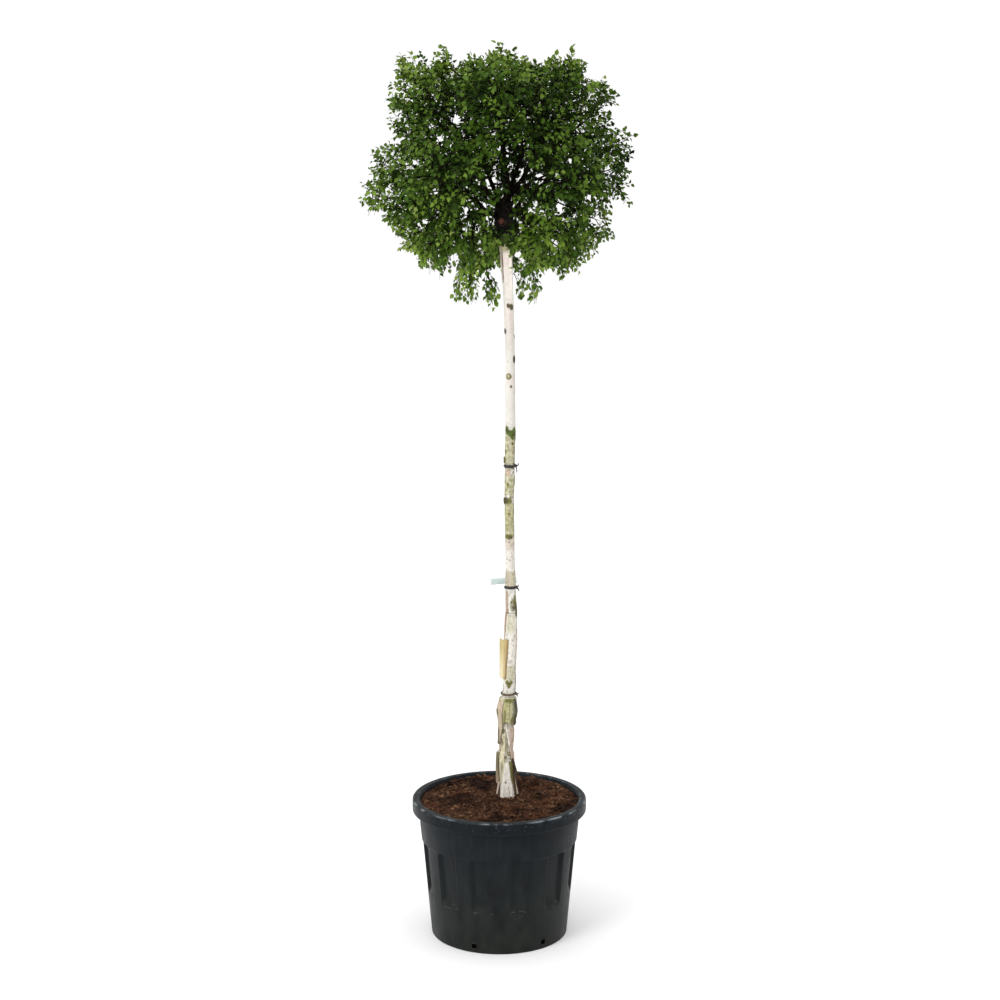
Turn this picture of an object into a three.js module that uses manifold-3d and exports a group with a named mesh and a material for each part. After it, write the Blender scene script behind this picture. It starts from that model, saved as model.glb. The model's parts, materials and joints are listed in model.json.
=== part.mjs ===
// A young weeping birch, grafted at head height on a clear white stem, in a round nursery pot.
// Millimetres, +Z up. The origin is the centre of the pot's flat underside, and -Y is the front.
// Bearings are in degrees, anticlockwise from +X as seen from above.

import * as THREE from 'three';
import { mergeVertices } from 'three/addons/utils/BufferGeometryUtils.js';
import Module from 'manifold-3d';

const wasm = await Module();
wasm.setup();

// --- Driving dimensions ---------------------------------------------------------------------

const seat = 0.3; // clearance between pieces that touch

const pot = {
  height: 400,
  wall: 3,
  floor: 4,
  footRadius: 196.4,
  footCorner: 3,
  flutes: 12,
  fluteBearing: 17,
  fluteSpan: 17, // degrees across one recessed panel
  fluteBevel: 1, // degrees taken by each of its side walls
  fluteDepth: 4,
  fluteFoot: 115, // where the panels fade out
  fluteFade: 30,
  fluteTop: 276,
  ribRadius: 220.8,
  collarFoot: 280,
  collarFootRadius: 224,
  collarRadius: 229,
  rimFoot: 328,
  rimShoulder: 352,
  rimRadius: 250,
  rimRound: 9,
  rimSlot: 2, // open slit under the hollow, turned-down rim
  lipWidth: 9,
  drainHoles: 6,
  drainBearing: 8.5,
  drainHeight: 20,
  drainSize: 11,
};

const soil = { edge: 384, top: 397, mound: 70 };

// The stem: height above the soil, offset in x and in y, radius.
const stem = [
  [0, 24, 5, 29],
  [60, 19, 6, 25.5],
  [128, 18, 7, 24],
  [142, 20, 8, 19.5],
  [208, 21, 8, 21],
  [230, 22, 7, 28], // sleeve of old bark
  [285, 22, 6, 28],
  [303, 27, 5, 18.2],
  [480, 35, -2, 17.5],
  [700, 30.5, -7, 13.2],
  [870, 28, -8, 13.5],
  [1075, 31, -4, 14.5],
  [1290, 30, 1, 13.5],
  [1430, 25.5, 4, 14],
  [1566, 18, 6, 17],
  [1630, 13, 5, 26], // swollen head of the graft
  [1662, 12, 4, 28],
  [1692, 11, 4, 21],
  [1704, 11, 4, 11],
];
const stemSides = 12;
const rootFlare = { lobes: 5, depth: 0.12, bearing: 20, fade: 35 };
const stub = { bearing: -100, height: 1655, radius: 11, length: 12 };

const ties = { heights: [311, 618, 967], band: 9, thickness: 2.6, knot: 5.5, bearing: -25 };
const tag = { length: 68, height: 16, thickness: 1.2, above: 632, offset: -18, tilt: 4 };

// The crown: tiers of masses on rings round the head. Each mass has its half-sizes outwards,
// sideways and upwards, and tip lifts the ring's right side or drops its left.
const crown = {
  tiers: [
    { name: 'top', count: 1, bearing: 0, height: 2388, ring: 0, tip: 0, size: [125, 125, 98] },
    { name: 'shoulder', count: 5, bearing: 54, height: 2330, ring: 185, tip: 6, size: [132, 145, 130] },
    { name: 'middle', count: 6, bearing: 0, height: 2178, ring: 245, tip: 22, size: [130, 150, 122] },
    { name: 'skirt', count: 5, bearing: 18, height: 2032, ring: 198, tip: 8, size: [126, 140, 118] },
  ],
  seed: 7,
  detail: 2,
  fullness: 2.5, // 2 is an ellipsoid, and more is boxier
  gap: [8, 18], // clear space between neighbours
  unevenness: 0.11,
  wander: { bearing: 7, height: 12, size: 0.07 }, // how far a mass strays from its tier's pattern
  heartRadius: 88, // open heart of the crown, round the head
  stemClearance: 40,
  sharpness: 12, // how crisply a mass meets the limits of its room
};

// Trailing masses that hang below the skirt: bearing, distance from the stem, height, half-sizes.
const trailing = {
  detail: 1,
  masses: [
    { bearing: 218, out: 118, height: 1886, size: [34, 36, 58] },
    { bearing: 252, out: 62, height: 1872, size: [26, 24, 62] },
    { bearing: 305, out: 118, height: 1880, size: [28, 30, 48] },
    { bearing: 338, out: 205, height: 1938, size: [38, 40, 44] },
    { bearing: 65, out: 128, height: 1882, size: [34, 38, 54] },
    { bearing: 140, out: 112, height: 1876, size: [32, 34, 56] },
  ],
};

// Leading shoots that break out of the crown's outline: sideways, back and height of each tip.
const shoots = [
  [-266, -60, 2480],
  [-143, -40, 2500],
  [-3, -50, 2511],
  [196, -40, 2503],
  [277, 30, 2417],
  [377, -30, 2257],
  [355, 40, 2100],
  [312, -10, 2022],
  [-304, 40, 2366],
  [-367, -20, 2200],
  [-378, 20, 2120],
  [30, 372, 2230],
  [-60, -368, 2180],
];

const bough = { baseRadius: 6.5, leaderRadius: 8.5, tipRadius: 3, sides: 6, steps: 5, lift: 26 };
const trailer = { baseRadius: 3, tipRadius: 2, sides: 5, steps: 4, lift: 0 };

// --- Small helpers --------------------------------------------------------------------------

const { degToRad, lerp } = THREE.MathUtils;
const up = new THREE.Vector3(0, 0, 1);

function polar(radius, bearing, height) {
  const angle = degToRad(bearing);
  return new THREE.Vector3(radius * Math.cos(angle), radius * Math.sin(angle), height);
}

// A small repeatable random source, so that the crown is the same each time.
function randomFrom(seed) {
  let state = seed;
  return () => {
    state = (state + 0x6d2b79f5) | 0;
    let t = Math.imul(state ^ (state >>> 15), 1 | state);
    t = (t + Math.imul(t ^ (t >>> 7), 61 | t)) ^ t;
    return ((t ^ (t >>> 14)) >>> 0) / 4294967296;
  };
}

// One vertex for each place, and no triangle without an area.
function welded(geometry) {
  const bare = geometry.clone();
  bare.deleteAttribute('normal');
  bare.deleteAttribute('uv');
  const merged = mergeVertices(bare);
  const corners = merged.index.array;
  const kept = [];
  for (let i = 0; i < corners.length; i += 3) {
    const [a, b, c] = [corners[i], corners[i + 1], corners[i + 2]];
    if (a !== b && b !== c && c !== a) kept.push(a, b, c);
  }
  merged.setIndex(kept);
  return merged;
}

function toSolid(geometry) {
  const closed = welded(geometry);
  const mesh = new wasm.Mesh({
    numProp: 3,
    vertProperties: new Float32Array(closed.getAttribute('position').array),
    triVerts: new Uint32Array(closed.index.array),
  });
  return new wasm.Manifold(mesh);
}

function toGeometry(solid) {
  const mesh = solid.getMesh();
  const geometry = new THREE.BufferGeometry();
  geometry.setAttribute('position', new THREE.BufferAttribute(mesh.vertProperties, 3));
  geometry.setIndex(new THREE.BufferAttribute(mesh.triVerts, 1));
  return geometry;
}

// The same surface with every face turned the other way.
function turnedOver(geometry) {
  const closed = welded(geometry);
  closed.setIndex(Array.from(closed.index.array).reverse());
  return closed;
}

// Moves every vertex of a geometry to the place that the function gives for it.
function reshaped(geometry, placeOf) {
  const position = geometry.getAttribute('position');
  const vertex = new THREE.Vector3();
  for (let i = 0; i < position.count; i += 1) {
    vertex.fromBufferAttribute(position, i);
    position.setXYZ(i, ...placeOf(vertex, i).toArray());
  }
  return geometry;
}

// --- Materials ------------------------------------------------------------------------------

function material(color, roughness) {
  return new THREE.MeshStandardMaterial({ color, roughness, metalness: 0, flatShading: true });
}

const whiteBark = material(0xd8d4c6, 0.8);
const darkBark = material(0x3d2d24, 0.85);
const foliage = material(0x4f6b26, 0.75);
const potPlastic = material(0x2b2f32, 0.5);
const peat = material(0x4a3427, 1);
const rubber = material(0x1c1c1a, 0.7);
const label = material(0xbfd8d2, 0.45);

const plant = new THREE.Group();

function addPiece(name, geometry, look) {
  const mesh = new THREE.Mesh(geometry, look);
  mesh.name = name;
  plant.add(mesh);
}

// --- Pot and soil ---------------------------------------------------------------------------

const columnsPerFlute = 4;

function wallRadius(height) {
  const rise = (height - pot.footCorner) / (pot.fluteTop - pot.footCorner);
  return lerp(pot.footRadius, pot.ribRadius, rise);
}

// Turns a profile of radii and heights round the axis, with the panels pressed into its wall.
function fluted(profile) {
  const columns = pot.flutes * columnsPerFlute;
  const half = pot.fluteSpan / 2;
  const edges = [-half, pot.fluteBevel - half, half - pot.fluteBevel, half];
  const panelFoot = pot.fluteFoot + pot.fluteFade;
  const turned = new THREE.LatheGeometry(profile, columns);
  return reshaped(turned, (vertex, i) => {
    const column = Math.floor(i / profile.length) % columns;
    const { x: radius, y: height } = profile[i % profile.length];
    const edge = column % columnsPerFlute;
    const flute = Math.floor(column / columnsPerFlute);
    const onPanel = edge % 3 !== 0 && height >= panelFoot && height <= pot.fluteTop;
    const bearing = pot.fluteBearing + (flute * 360) / pot.flutes + edges[edge];
    return polar(onPanel ? radius - pot.fluteDepth : radius, bearing, height);
  });
}

// The inner face of the wall, from the floor up to the rim, drawn in by a clearance.
function innerWall(clearance) {
  const inset = pot.wall + clearance;
  const heights = [pot.floor + clearance, pot.fluteFoot, pot.fluteFoot + pot.fluteFade, pot.fluteTop];
  return [
    ...heights.map((height) => new THREE.Vector2(wallRadius(height) - inset, height)),
    new THREE.Vector2(pot.collarFootRadius - inset, pot.collarFoot),
    new THREE.Vector2(pot.collarRadius - inset, pot.rimFoot),
  ];
}

function makePot() {
  const point = (radius, height) => new THREE.Vector2(radius, height);
  const onWall = (height) => point(wallRadius(height), height);
  const rimTop = pot.height - pot.wall;
  const skin = pot.rimRadius - pot.wall;
  const profile = [
    point(0, 0),
    point(pot.footRadius - pot.footCorner, 0),
    onWall(pot.footCorner),
    onWall(pot.fluteFoot),
    onWall(pot.fluteFoot + pot.fluteFade),
    onWall(pot.fluteTop),
    point(pot.collarFootRadius, pot.collarFoot),
    point(pot.collarRadius, pot.rimFoot),
    point(pot.collarRadius, rimTop), // up inside the hollow rim
    point(skin - pot.wall, rimTop - pot.wall),
    point(skin, pot.rimShoulder + pot.wall),
    point(pot.collarRadius + pot.rimSlot, pot.rimFoot),
    point(pot.rimRadius, pot.rimShoulder),
    point(pot.rimRadius, pot.height - pot.rimRound),
    point(pot.rimRadius - pot.rimRound, pot.height),
    point(pot.rimRadius - pot.rimRound - pot.lipWidth, pot.height),
    point(pot.collarRadius - pot.wall, pot.height - pot.rimRound),
    ...innerWall(0).reverse(),
    point(0, pot.floor),
  ];
  let body = toSolid(fluted(profile));
  for (let i = 0; i < pot.drainHoles; i += 1) {
    const bearing = pot.drainBearing + (i * 360) / pot.drainHoles;
    const hole = new THREE.BoxGeometry(pot.wall * 8, pot.drainSize, pot.drainSize);
    hole.rotateZ(degToRad(bearing));
    hole.translate(...polar(wallRadius(pot.drainHeight), bearing, pot.drainHeight).toArray());
    body = body.subtract(toSolid(hole));
  }
  addPiece('pot', toGeometry(body), potPlastic);
}

// The soil's profile runs down the wall, as the pot's inside does, so that their facets match.
function makeSoil() {
  const wall = innerWall(seat).reverse();
  const profile = [
    new THREE.Vector2(0, soil.top),
    new THREE.Vector2(soil.mound, soil.top),
    new THREE.Vector2(wall[0].x, soil.edge),
    ...wall,
    new THREE.Vector2(0, pot.floor + seat),
  ];
  addPiece('soil', toGeometry(toSolid(turnedOver(fluted(profile)))), peat);
}

// --- Stem -----------------------------------------------------------------------------------

const stemFoot = soil.top + seat;
const stemLine = new THREE.CatmullRomCurve3(
  stem.map(([height, x, y]) => new THREE.Vector3(x, y, stemFoot + height)),
);
const stemGirth = new THREE.SplineCurve(stem.map(([, , , radius]) => new THREE.Vector2(radius, 0)));
const stemSteps = stem.length - 1;

// How far along the stem's curves a height above the soil lies.
function stemShare(height) {
  const above = stem.findIndex(([rowHeight]) => rowHeight > height);
  const [lower, upper] = [stem[above - 1][0], stem[above][0]];
  return (above - 1 + (height - lower) / (upper - lower)) / (stem.length - 1);
}

function flareAt(height, angle) {
  const lobe = Math.cos(rootFlare.lobes * (angle - degToRad(rootFlare.bearing)));
  return 1 + rootFlare.depth * lobe * Math.exp(-height / rootFlare.fade);
}

// The whole stem, thicker by a clearance where it is used to cut what rests on it.
function stemSolid(clearance) {
  const blank = new THREE.CylinderGeometry(1, 1, 1, stemSides, stemSteps);
  const trunk = reshaped(blank, (vertex) => {
    const share = Math.round((vertex.y + 0.5) * stemSteps) / stemSteps;
    const centre = stemLine.getPoint(share);
    const flare = flareAt(centre.z - stemFoot, Math.atan2(-vertex.z, vertex.x));
    const radius = stemGirth.getPoint(share).x * flare + clearance;
    const lift = share === 1 ? clearance : 0;
    return centre.add(new THREE.Vector3(vertex.x * radius, -vertex.z * radius, lift));
  });
  const cut = new THREE.CylinderGeometry(stub.radius + clearance, stub.radius + clearance, 1, stemSides);
  const reach = stem.at(-3)[3] + stub.length + clearance;
  cut.scale(1, reach, 1).translate(0, reach / 2, 0).rotateZ(-Math.PI / 2);
  cut.rotateZ(degToRad(stub.bearing));
  cut.translate(...stemLine.getPoint(stemShare(stub.height)).toArray());
  return toSolid(trunk).add(toSolid(cut));
}

const grownStem = stemSolid(seat);
const head = stemLine.getPoint(stemShare(stub.height));

function makeTies() {
  ties.heights.forEach((height, i) => {
    const share = stemShare(height);
    const centre = stemLine.getPoint(share);
    const radius = stemGirth.getPoint(share).x + seat + ties.thickness;
    const band = new THREE.CylinderGeometry(radius, radius, ties.band, stemSides).rotateX(Math.PI / 2);
    band.translate(...centre.toArray());
    const knot = new THREE.IcosahedronGeometry(ties.knot, 0);
    knot.translate(...polar(radius, ties.bearing, 0).add(centre).toArray());
    const loop = toSolid(band).add(toSolid(knot)).subtract(grownStem);
    addPiece(`tie_${i + 1}`, toGeometry(loop), rubber);
  });
}

function makeTag() {
  const share = stemShare(tag.above);
  const centre = stemLine.getPoint(share);
  const back = stemGirth.getPoint(share).x + seat / 2 + tag.thickness / 2;
  const strip = new THREE.BoxGeometry(tag.length, tag.thickness, tag.height);
  strip.rotateY(degToRad(-tag.tilt));
  strip.translate(centre.x + tag.offset, centre.y + back, centre.z);
  addPiece('tag', toGeometry(toSolid(strip).subtract(grownStem)), label);
}

// --- Crown masses ---------------------------------------------------------------------------

// Every mass: its name, its centre, its axes outwards and sideways, and its half-sizes.
function planMasses() {
  const plan = [];
  const add = (name, bearing, out, height, size, detail) => {
    const outward = polar(1, bearing, 0);
    const centre = new THREE.Vector3(0, head.y, height).addScaledVector(outward, out);
    plan.push({ name, bearing, centre, outward, sideways: polar(1, bearing + 90, 0), size, detail });
  };
  const random = randomFrom(crown.seed);
  const stray = (span) => lerp(-span, span, random());
  crown.tiers.forEach(({ name, count, bearing, height, ring, tip, size }) => {
    for (let i = 0; i < count; i += 1) {
      const turn = bearing + (i * 360) / count + stray(crown.wander.bearing);
      const level = height + tip * Math.cos(degToRad(turn)) + stray(crown.wander.height);
      const scale = 1 + stray(crown.wander.size);
      const strayed = size.map((half) => half * scale);
      add(`${name}_${i + 1}`, turn, ring, level, strayed, crown.detail);
    }
  });
  trailing.masses.forEach(({ bearing, out, height, size }, i) => {
    add(`trailing_${i + 1}`, bearing, out, height, size, trailing.detail);
  });
  return plan;
}

// The planes that a mass stays behind: half-way to each neighbour, the open heart and the stem.
function limitsOf(mass, plan) {
  const limits = [];
  const stayBehind = (toward, distance) => limits.push({ normal: toward.normalize(), distance });
  plan.forEach((other) => {
    if (other === mass) return;
    const toward = other.centre.clone().sub(mass.centre);
    const apart = toward.length();
    const share = mass.size[0] / (mass.size[0] + other.size[0]);
    const spread = Math.abs(Math.sin(mass.bearing + other.bearing)); // uneven, but the same for both
    stayBehind(toward, apart * share - lerp(...crown.gap, spread) / 2);
  });
  if (mass.detail === crown.detail) {
    const inward = head.clone().sub(mass.centre);
    const level = new THREE.Vector3(inward.x, inward.y, 0);
    stayBehind(inward, inward.length() - crown.heartRadius);
    if (mass.centre.z < head.z) stayBehind(level, level.length() - crown.stemClearance);
  }
  return limits;
}

// A sum of a few soft waves in seeded directions, about -1 to 1 over the mass.
function lumps(random) {
  const waves = Array.from({ length: 5 }, () => ({
    along: new THREE.Vector3(random() - 0.5, random() - 0.5, random() - 0.5).normalize(),
    pace: lerp(2.5, 7, random()),
    phase: random() * Math.PI * 2,
  }));
  return (direction) => {
    const sum = waves.reduce((s, w) => s + Math.sin(w.pace * direction.dot(w.along) + w.phase), 0);
    return sum / 2.5;
  };
}

function massReach(mass, limits, uneven, direction) {
  const along = [direction.dot(mass.outward), direction.dot(mass.sideways), direction.z];
  const parts = along.map((part, axis) => Math.abs(part / mass.size[axis]) ** crown.fullness);
  const stretch = parts.reduce((sum, part) => sum + part) ** (1 / crown.fullness);
  const free = (1 + crown.unevenness * uneven(direction)) / stretch;
  let crowding = free ** -crown.sharpness;
  limits.forEach(({ normal, distance }) => {
    const facing = direction.dot(normal) / distance;
    if (facing > 0) crowding += facing ** crown.sharpness;
  });
  return crowding ** (-1 / crown.sharpness);
}

function shapeMass(mass, index, plan) {
  const limits = limitsOf(mass, plan);
  const uneven = lumps(randomFrom(31 + 17 * index));
  const sphere = welded(new THREE.IcosahedronGeometry(1, mass.detail));
  mass.directions = [];
  mass.reaches = [];
  reshaped(sphere, (vertex) => {
    const direction = vertex.clone().normalize();
    mass.directions.push(direction);
    mass.reaches.push(massReach(mass, limits, uneven, direction));
    return direction;
  });
  mass.sphere = sphere;
}

// Stretches the nearest mass's nearest corner out to the tip of a leading shoot.
function growShoot(tip, plan) {
  const near = (mass) => tip.distanceTo(mass.centre);
  const mass = plan.reduce((best, other) => (near(other) < near(best) ? other : best));
  const aim = tip.clone().sub(mass.centre);
  const reach = aim.length();
  aim.normalize();
  const facing = mass.directions.map((direction) => direction.dot(aim));
  const corner = facing.indexOf(Math.max(...facing));
  mass.directions[corner] = aim;
  mass.reaches[corner] = reach;
}

function massSolid(mass, clearance) {
  const blank = mass.sphere.clone();
  reshaped(blank, (vertex, i) => {
    const reach = mass.reaches[i] + clearance;
    return mass.centre.clone().addScaledVector(mass.directions[i], reach);
  });
  return toSolid(blank);
}

// --- Boughs ---------------------------------------------------------------------------------

// A tapering limb along a curve, from the base radius to the tip radius.
function limbSolid(curve, limb, baseRadius) {
  const frames = curve.computeFrenetFrames(limb.steps);
  const blank = new THREE.CylinderGeometry(1, 1, 1, limb.sides, limb.steps);
  const tapered = reshaped(blank, (vertex) => {
    const step = Math.round((vertex.y + 0.5) * limb.steps);
    const share = step / limb.steps;
    const radius = lerp(baseRadius, limb.tipRadius, share);
    const centre = curve.getPointAt(share);
    centre.addScaledVector(frames.binormals[step], vertex.x * radius);
    return centre.addScaledVector(frames.normals[step], vertex.z * radius);
  });
  return toSolid(tapered);
}

// The line of a bough: out of the head, lifting above the straight way, then into the mass.
function boughLine(from, to, lift) {
  const way = to.clone().sub(from);
  const first = from.clone().addScaledVector(way, 0.35).addScaledVector(up, lift);
  const second = from.clone().addScaledVector(way, 0.72).addScaledVector(up, lift * 0.8);
  return new THREE.CubicBezierCurve3(from, first, second, to);
}

function makeCrown() {
  const plan = planMasses();
  plan.forEach((mass, index) => shapeMass(mass, index, plan));
  shoots.forEach((tip) => growShoot(new THREE.Vector3(...tip), plan));
  plan.forEach((mass) => {
    addPiece(`mass_${mass.name}`, toGeometry(massSolid(mass, 0)), foliage);
  });
  return plan;
}

function makeBoughs(plan) {
  const seated = 1.5 * seat; // growth from a mass's centre that leaves about one seat across its faces
  let taken = grownStem;
  const own = plan.filter((mass) => mass.detail === crown.detail);
  own.forEach((mass, i) => {
    const base = i === 0 ? bough.leaderRadius : bough.baseRadius;
    const line = boughLine(head.clone(), mass.centre, bough.lift);
    const limb = limbSolid(line, bough, base).subtract(massSolid(mass, seated)).subtract(taken);
    taken = taken.add(limbSolid(line, { ...bough, tipRadius: bough.tipRadius + seat }, base + seat));
    addPiece(`bough_${mass.name}`, toGeometry(limb), darkBark);
  });
  plan.filter((mass) => mass.detail === trailing.detail).forEach((mass) => {
    const near = (carrier) => carrier.centre.distanceTo(mass.centre);
    const carrier = own.reduce((best, other) => (near(other) < near(best) ? other : best));
    const line = boughLine(carrier.centre, mass.centre, trailer.lift);
    const limb = limbSolid(line, trailer, trailer.baseRadius)
      .subtract(massSolid(mass, seated))
      .subtract(massSolid(carrier, seated));
    addPiece(`twig_${mass.name}`, toGeometry(limb), darkBark);
  });
}

// --- Assembly -------------------------------------------------------------------------------

makePot();
makeSoil();
addPiece('trunk', toGeometry(stemSolid(0)), whiteBark);
makeTies();
makeTag();
makeBoughs(makeCrown());

export default plant;
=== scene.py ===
# %% [markdown]
# # A weeping birch in a nursery pot
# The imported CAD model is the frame: it fixes every size and place, and this script gives it
# its looks. The tree is a grafted standard: a clear white stem, a swollen graft at head height,
# and a ball of fine dark twigs and small leaves. It stands in a fluted black pot of bark soil.
# Everything is in metres, +Z is up, and -Y is the front. Blender's vector noise starts from the
# clock unless it is seeded, so its seed is set before anything else, and each run grows the
# same tree.

import json
import math

import bpy
import numpy as np
from mathutils import Matrix, Vector
from mathutils import noise as turbulence
from mathutils.bvhtree import BVHTree

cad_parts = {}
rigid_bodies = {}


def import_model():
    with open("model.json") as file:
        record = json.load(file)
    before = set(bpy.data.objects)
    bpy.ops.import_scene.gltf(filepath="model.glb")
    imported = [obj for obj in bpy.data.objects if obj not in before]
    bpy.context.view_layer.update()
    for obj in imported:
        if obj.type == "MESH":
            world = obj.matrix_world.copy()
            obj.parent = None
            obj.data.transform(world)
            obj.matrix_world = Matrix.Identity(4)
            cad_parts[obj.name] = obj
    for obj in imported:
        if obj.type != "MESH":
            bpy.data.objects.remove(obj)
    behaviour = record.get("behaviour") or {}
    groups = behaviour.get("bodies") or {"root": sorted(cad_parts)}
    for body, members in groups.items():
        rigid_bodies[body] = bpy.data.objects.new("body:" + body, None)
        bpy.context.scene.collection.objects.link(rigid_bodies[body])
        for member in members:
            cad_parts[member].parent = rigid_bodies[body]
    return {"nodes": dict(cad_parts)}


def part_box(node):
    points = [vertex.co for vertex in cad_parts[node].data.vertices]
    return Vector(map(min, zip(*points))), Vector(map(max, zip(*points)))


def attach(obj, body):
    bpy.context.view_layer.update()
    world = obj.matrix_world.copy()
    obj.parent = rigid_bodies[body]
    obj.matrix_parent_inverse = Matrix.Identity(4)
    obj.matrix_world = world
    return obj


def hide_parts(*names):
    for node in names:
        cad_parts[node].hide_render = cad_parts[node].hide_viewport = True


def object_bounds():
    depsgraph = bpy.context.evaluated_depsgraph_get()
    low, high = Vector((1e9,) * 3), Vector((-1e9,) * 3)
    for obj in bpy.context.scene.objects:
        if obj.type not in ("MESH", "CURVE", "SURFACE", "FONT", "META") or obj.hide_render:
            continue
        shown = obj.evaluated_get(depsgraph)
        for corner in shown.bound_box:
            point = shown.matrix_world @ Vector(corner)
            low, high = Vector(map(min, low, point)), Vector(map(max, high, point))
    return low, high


NOISE_SEED = 3
turbulence.seed_set(NOISE_SEED)
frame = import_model()
cad_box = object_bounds()
scene = bpy.context.scene
UP = Vector((0, 0, 1))
print("CAD box", [round(v, 3) for corner in cad_box for v in corner])

# %% [markdown]
# ## Small tools
# A mesh in Blender is a list of places and a list of faces. These helpers turn such lists into
# an object, and turn an object with modifiers into a plain mesh. Working with whole numpy
# arrays at once is much faster than touching one vertex at a time, which matters on a tree.


# %% Mesh helpers
def mesh_object(name, places, faces, smooth=True):
    """A new object from lists of places and faces, with its origin at the world's."""
    mesh = bpy.data.meshes.new(name)
    mesh.from_pydata([tuple(map(float, p)) for p in places], [], faces)
    mesh.validate()
    mesh.shade_smooth() if smooth else mesh.shade_flat()
    made = bpy.data.objects.new(name, mesh)
    scene.collection.objects.link(made)
    return made


def settled(source, name):
    """The evaluated object as a plain mesh object of its own; the source is removed."""
    graph = bpy.context.evaluated_depsgraph_get()
    mesh = bpy.data.meshes.new_from_object(source.evaluated_get(graph), depsgraph=graph)
    bpy.data.objects.remove(source)
    mesh.name = name
    made = bpy.data.objects.new(name, mesh)
    scene.collection.objects.link(made)
    return made


def paint_attribute(target, name, values, kind="FLOAT"):
    """Stores one number or vector for each vertex, for a material or a node tree to read."""
    layer = target.data.attributes.new(name, kind, "POINT")
    field = "vector" if kind == "FLOAT_VECTOR" else "value"
    layer.data.foreach_set(field, np.asarray(values, np.float32).ravel())


def triangles(target):
    return sum(len(face.vertices) - 2 for face in target.data.polygons)


def report(target):
    print(f"{target.name}: {triangles(target)} triangles")
    return target


def grid_faces(rows, columns):
    """Quads of a grid that closes on itself sideways, one row above the other."""
    return [
        (r * columns + c, r * columns + (c + 1) % columns,
         (r + 1) * columns + (c + 1) % columns, (r + 1) * columns + c)
        for r in range(rows - 1)
        for c in range(columns)
    ]


def soft_noise(places, pace, offset=0.0):
    """Perlin noise at each place, about -1 to 1. A higher pace makes smaller waves."""
    spots = np.asarray(places) * pace + offset
    return np.array([turbulence.noise(Vector(p)) for p in spots])


def smoothstep(low, high, value):
    share = np.clip((value - low) / (high - low), 0, 1)
    return share * share * (3 - 2 * share)


# %% [markdown]
# ## Material tools
# A material is a graph of nodes that ends in the Principled shader. Writing each node and link
# by hand is long, so a small class adds a node and joins its inputs in one call. A number that
# is the same all over a surface is set on the shader's own socket, so an export keeps it.


# %% Material helpers
class Finish:
    """A material being mixed. Inputs may be numbers, colours or another node's output."""

    def __init__(self, name, roughness=0.5, gloss=0.5):
        self.material = bpy.data.materials.new(name)
        self.material.use_nodes = True
        self.tree = self.material.node_tree
        self.shader = self.tree.nodes["Principled BSDF"]
        self.shader.inputs["Roughness"].default_value = roughness
        self.shader.inputs["Specular IOR Level"].default_value = gloss
        self.place = self.node("ShaderNodeTexCoord").outputs["Object"]

    def node(self, kind, inputs=None, **settings):
        made = self.tree.nodes.new(kind)
        for key, value in settings.items():
            setattr(made, key, value)
        for key, value in (inputs or {}).items():
            self.feed(made.inputs[key], value)
        return made

    def feed(self, socket, value):
        if isinstance(value, bpy.types.NodeSocket):
            self.tree.links.new(value, socket)
        else:
            socket.default_value = value

    def stretched(self, scale, shift=(0, 0, 0)):
        mapping = {"Vector": self.place, "Scale": scale, "Location": shift}
        return self.node("ShaderNodeMapping", mapping).outputs["Vector"]

    def noise(self, scale, detail=3.0, vector=None, rough=0.55):
        inputs = {"Scale": scale, "Detail": detail, "Roughness": rough, "Vector": vector or self.place}
        return self.node("ShaderNodeTexNoise", inputs).outputs["Fac"]

    def cells(self, scale, vector=None, feature="F1"):
        inputs = {"Scale": scale, "Vector": vector or self.place}
        return self.node("ShaderNodeTexVoronoi", inputs, feature=feature).outputs["Distance"]

    def attribute(self, name):
        return self.node("ShaderNodeAttribute", attribute_name=name).outputs["Fac"]

    def ramp(self, value, low, high, start=0.0, end=1.0):
        inputs = {"Value": value, "From Min": low, "From Max": high, "To Min": start, "To Max": end}
        return self.node("ShaderNodeMapRange", inputs).outputs["Result"]

    def maths(self, operation, first, second=0.0):
        return self.node("ShaderNodeMath", {0: first, 1: second}, operation=operation).outputs[0]

    def times(self, first, second):
        return self.maths("MULTIPLY", first, second)

    def height(self):
        """How high each point lies above the ground, in metres."""
        return self.node("ShaderNodeSeparateXYZ", {"Vector": self.place}).outputs["Z"]

    def mix(self, share, first, second):
        made = self.node("ShaderNodeMix", {0: share}, data_type="RGBA")
        for socket, value in ((made.inputs[6], first), (made.inputs[7], second)):
            self.feed(socket, value if isinstance(value, bpy.types.NodeSocket) else (*value, 1.0))
        return made.outputs[2]

    def colour(self, value):
        self.feed(self.shader.inputs["Base Color"], value)

    def roughness(self, value):
        self.feed(self.shader.inputs["Roughness"], value)

    def relief(self, height, distance, strength=1.0):
        bump = self.node("ShaderNodeBump", {"Height": height, "Distance": distance, "Strength": strength})
        self.feed(self.shader.inputs["Normal"], bump.outputs["Normal"])


def tint(red, green, blue):
    """A colour picked on screen, 0 to 255, as the linear light that shaders work in."""
    def linear(value):
        return value / 255 / 12.92 if value < 11 else ((value / 255 + 0.055) / 1.055) ** 2.4

    return tuple(linear(value) for value in (red, green, blue))


# %% [markdown]
# ## Camera, floor and light
# The view is from the front at about the height of the graft, tilted a little down, with a long
# lens that keeps the tall stem straight. A bright even sky dome does most of the lighting, as on
# an overcast day. A large softbox high at the front left gives the leaves a brighter top side,
# and a small one low at the front, with a narrow beam, lifts the dark graft out of the shade.

# %% Camera
eye = bpy.data.cameras.new("camera")
eye.lens = 67.5
eye.sensor_width = 36
eye.clip_end = 100
camera = bpy.data.objects.new("camera", eye)
camera.location = (0.002, -5.21, 2.09)
camera.rotation_euler = (math.radians(81), 0, 0)
scene.collection.objects.link(camera)
scene.camera = camera
print("camera at", tuple(round(v, 3) for v in camera.location))

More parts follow.
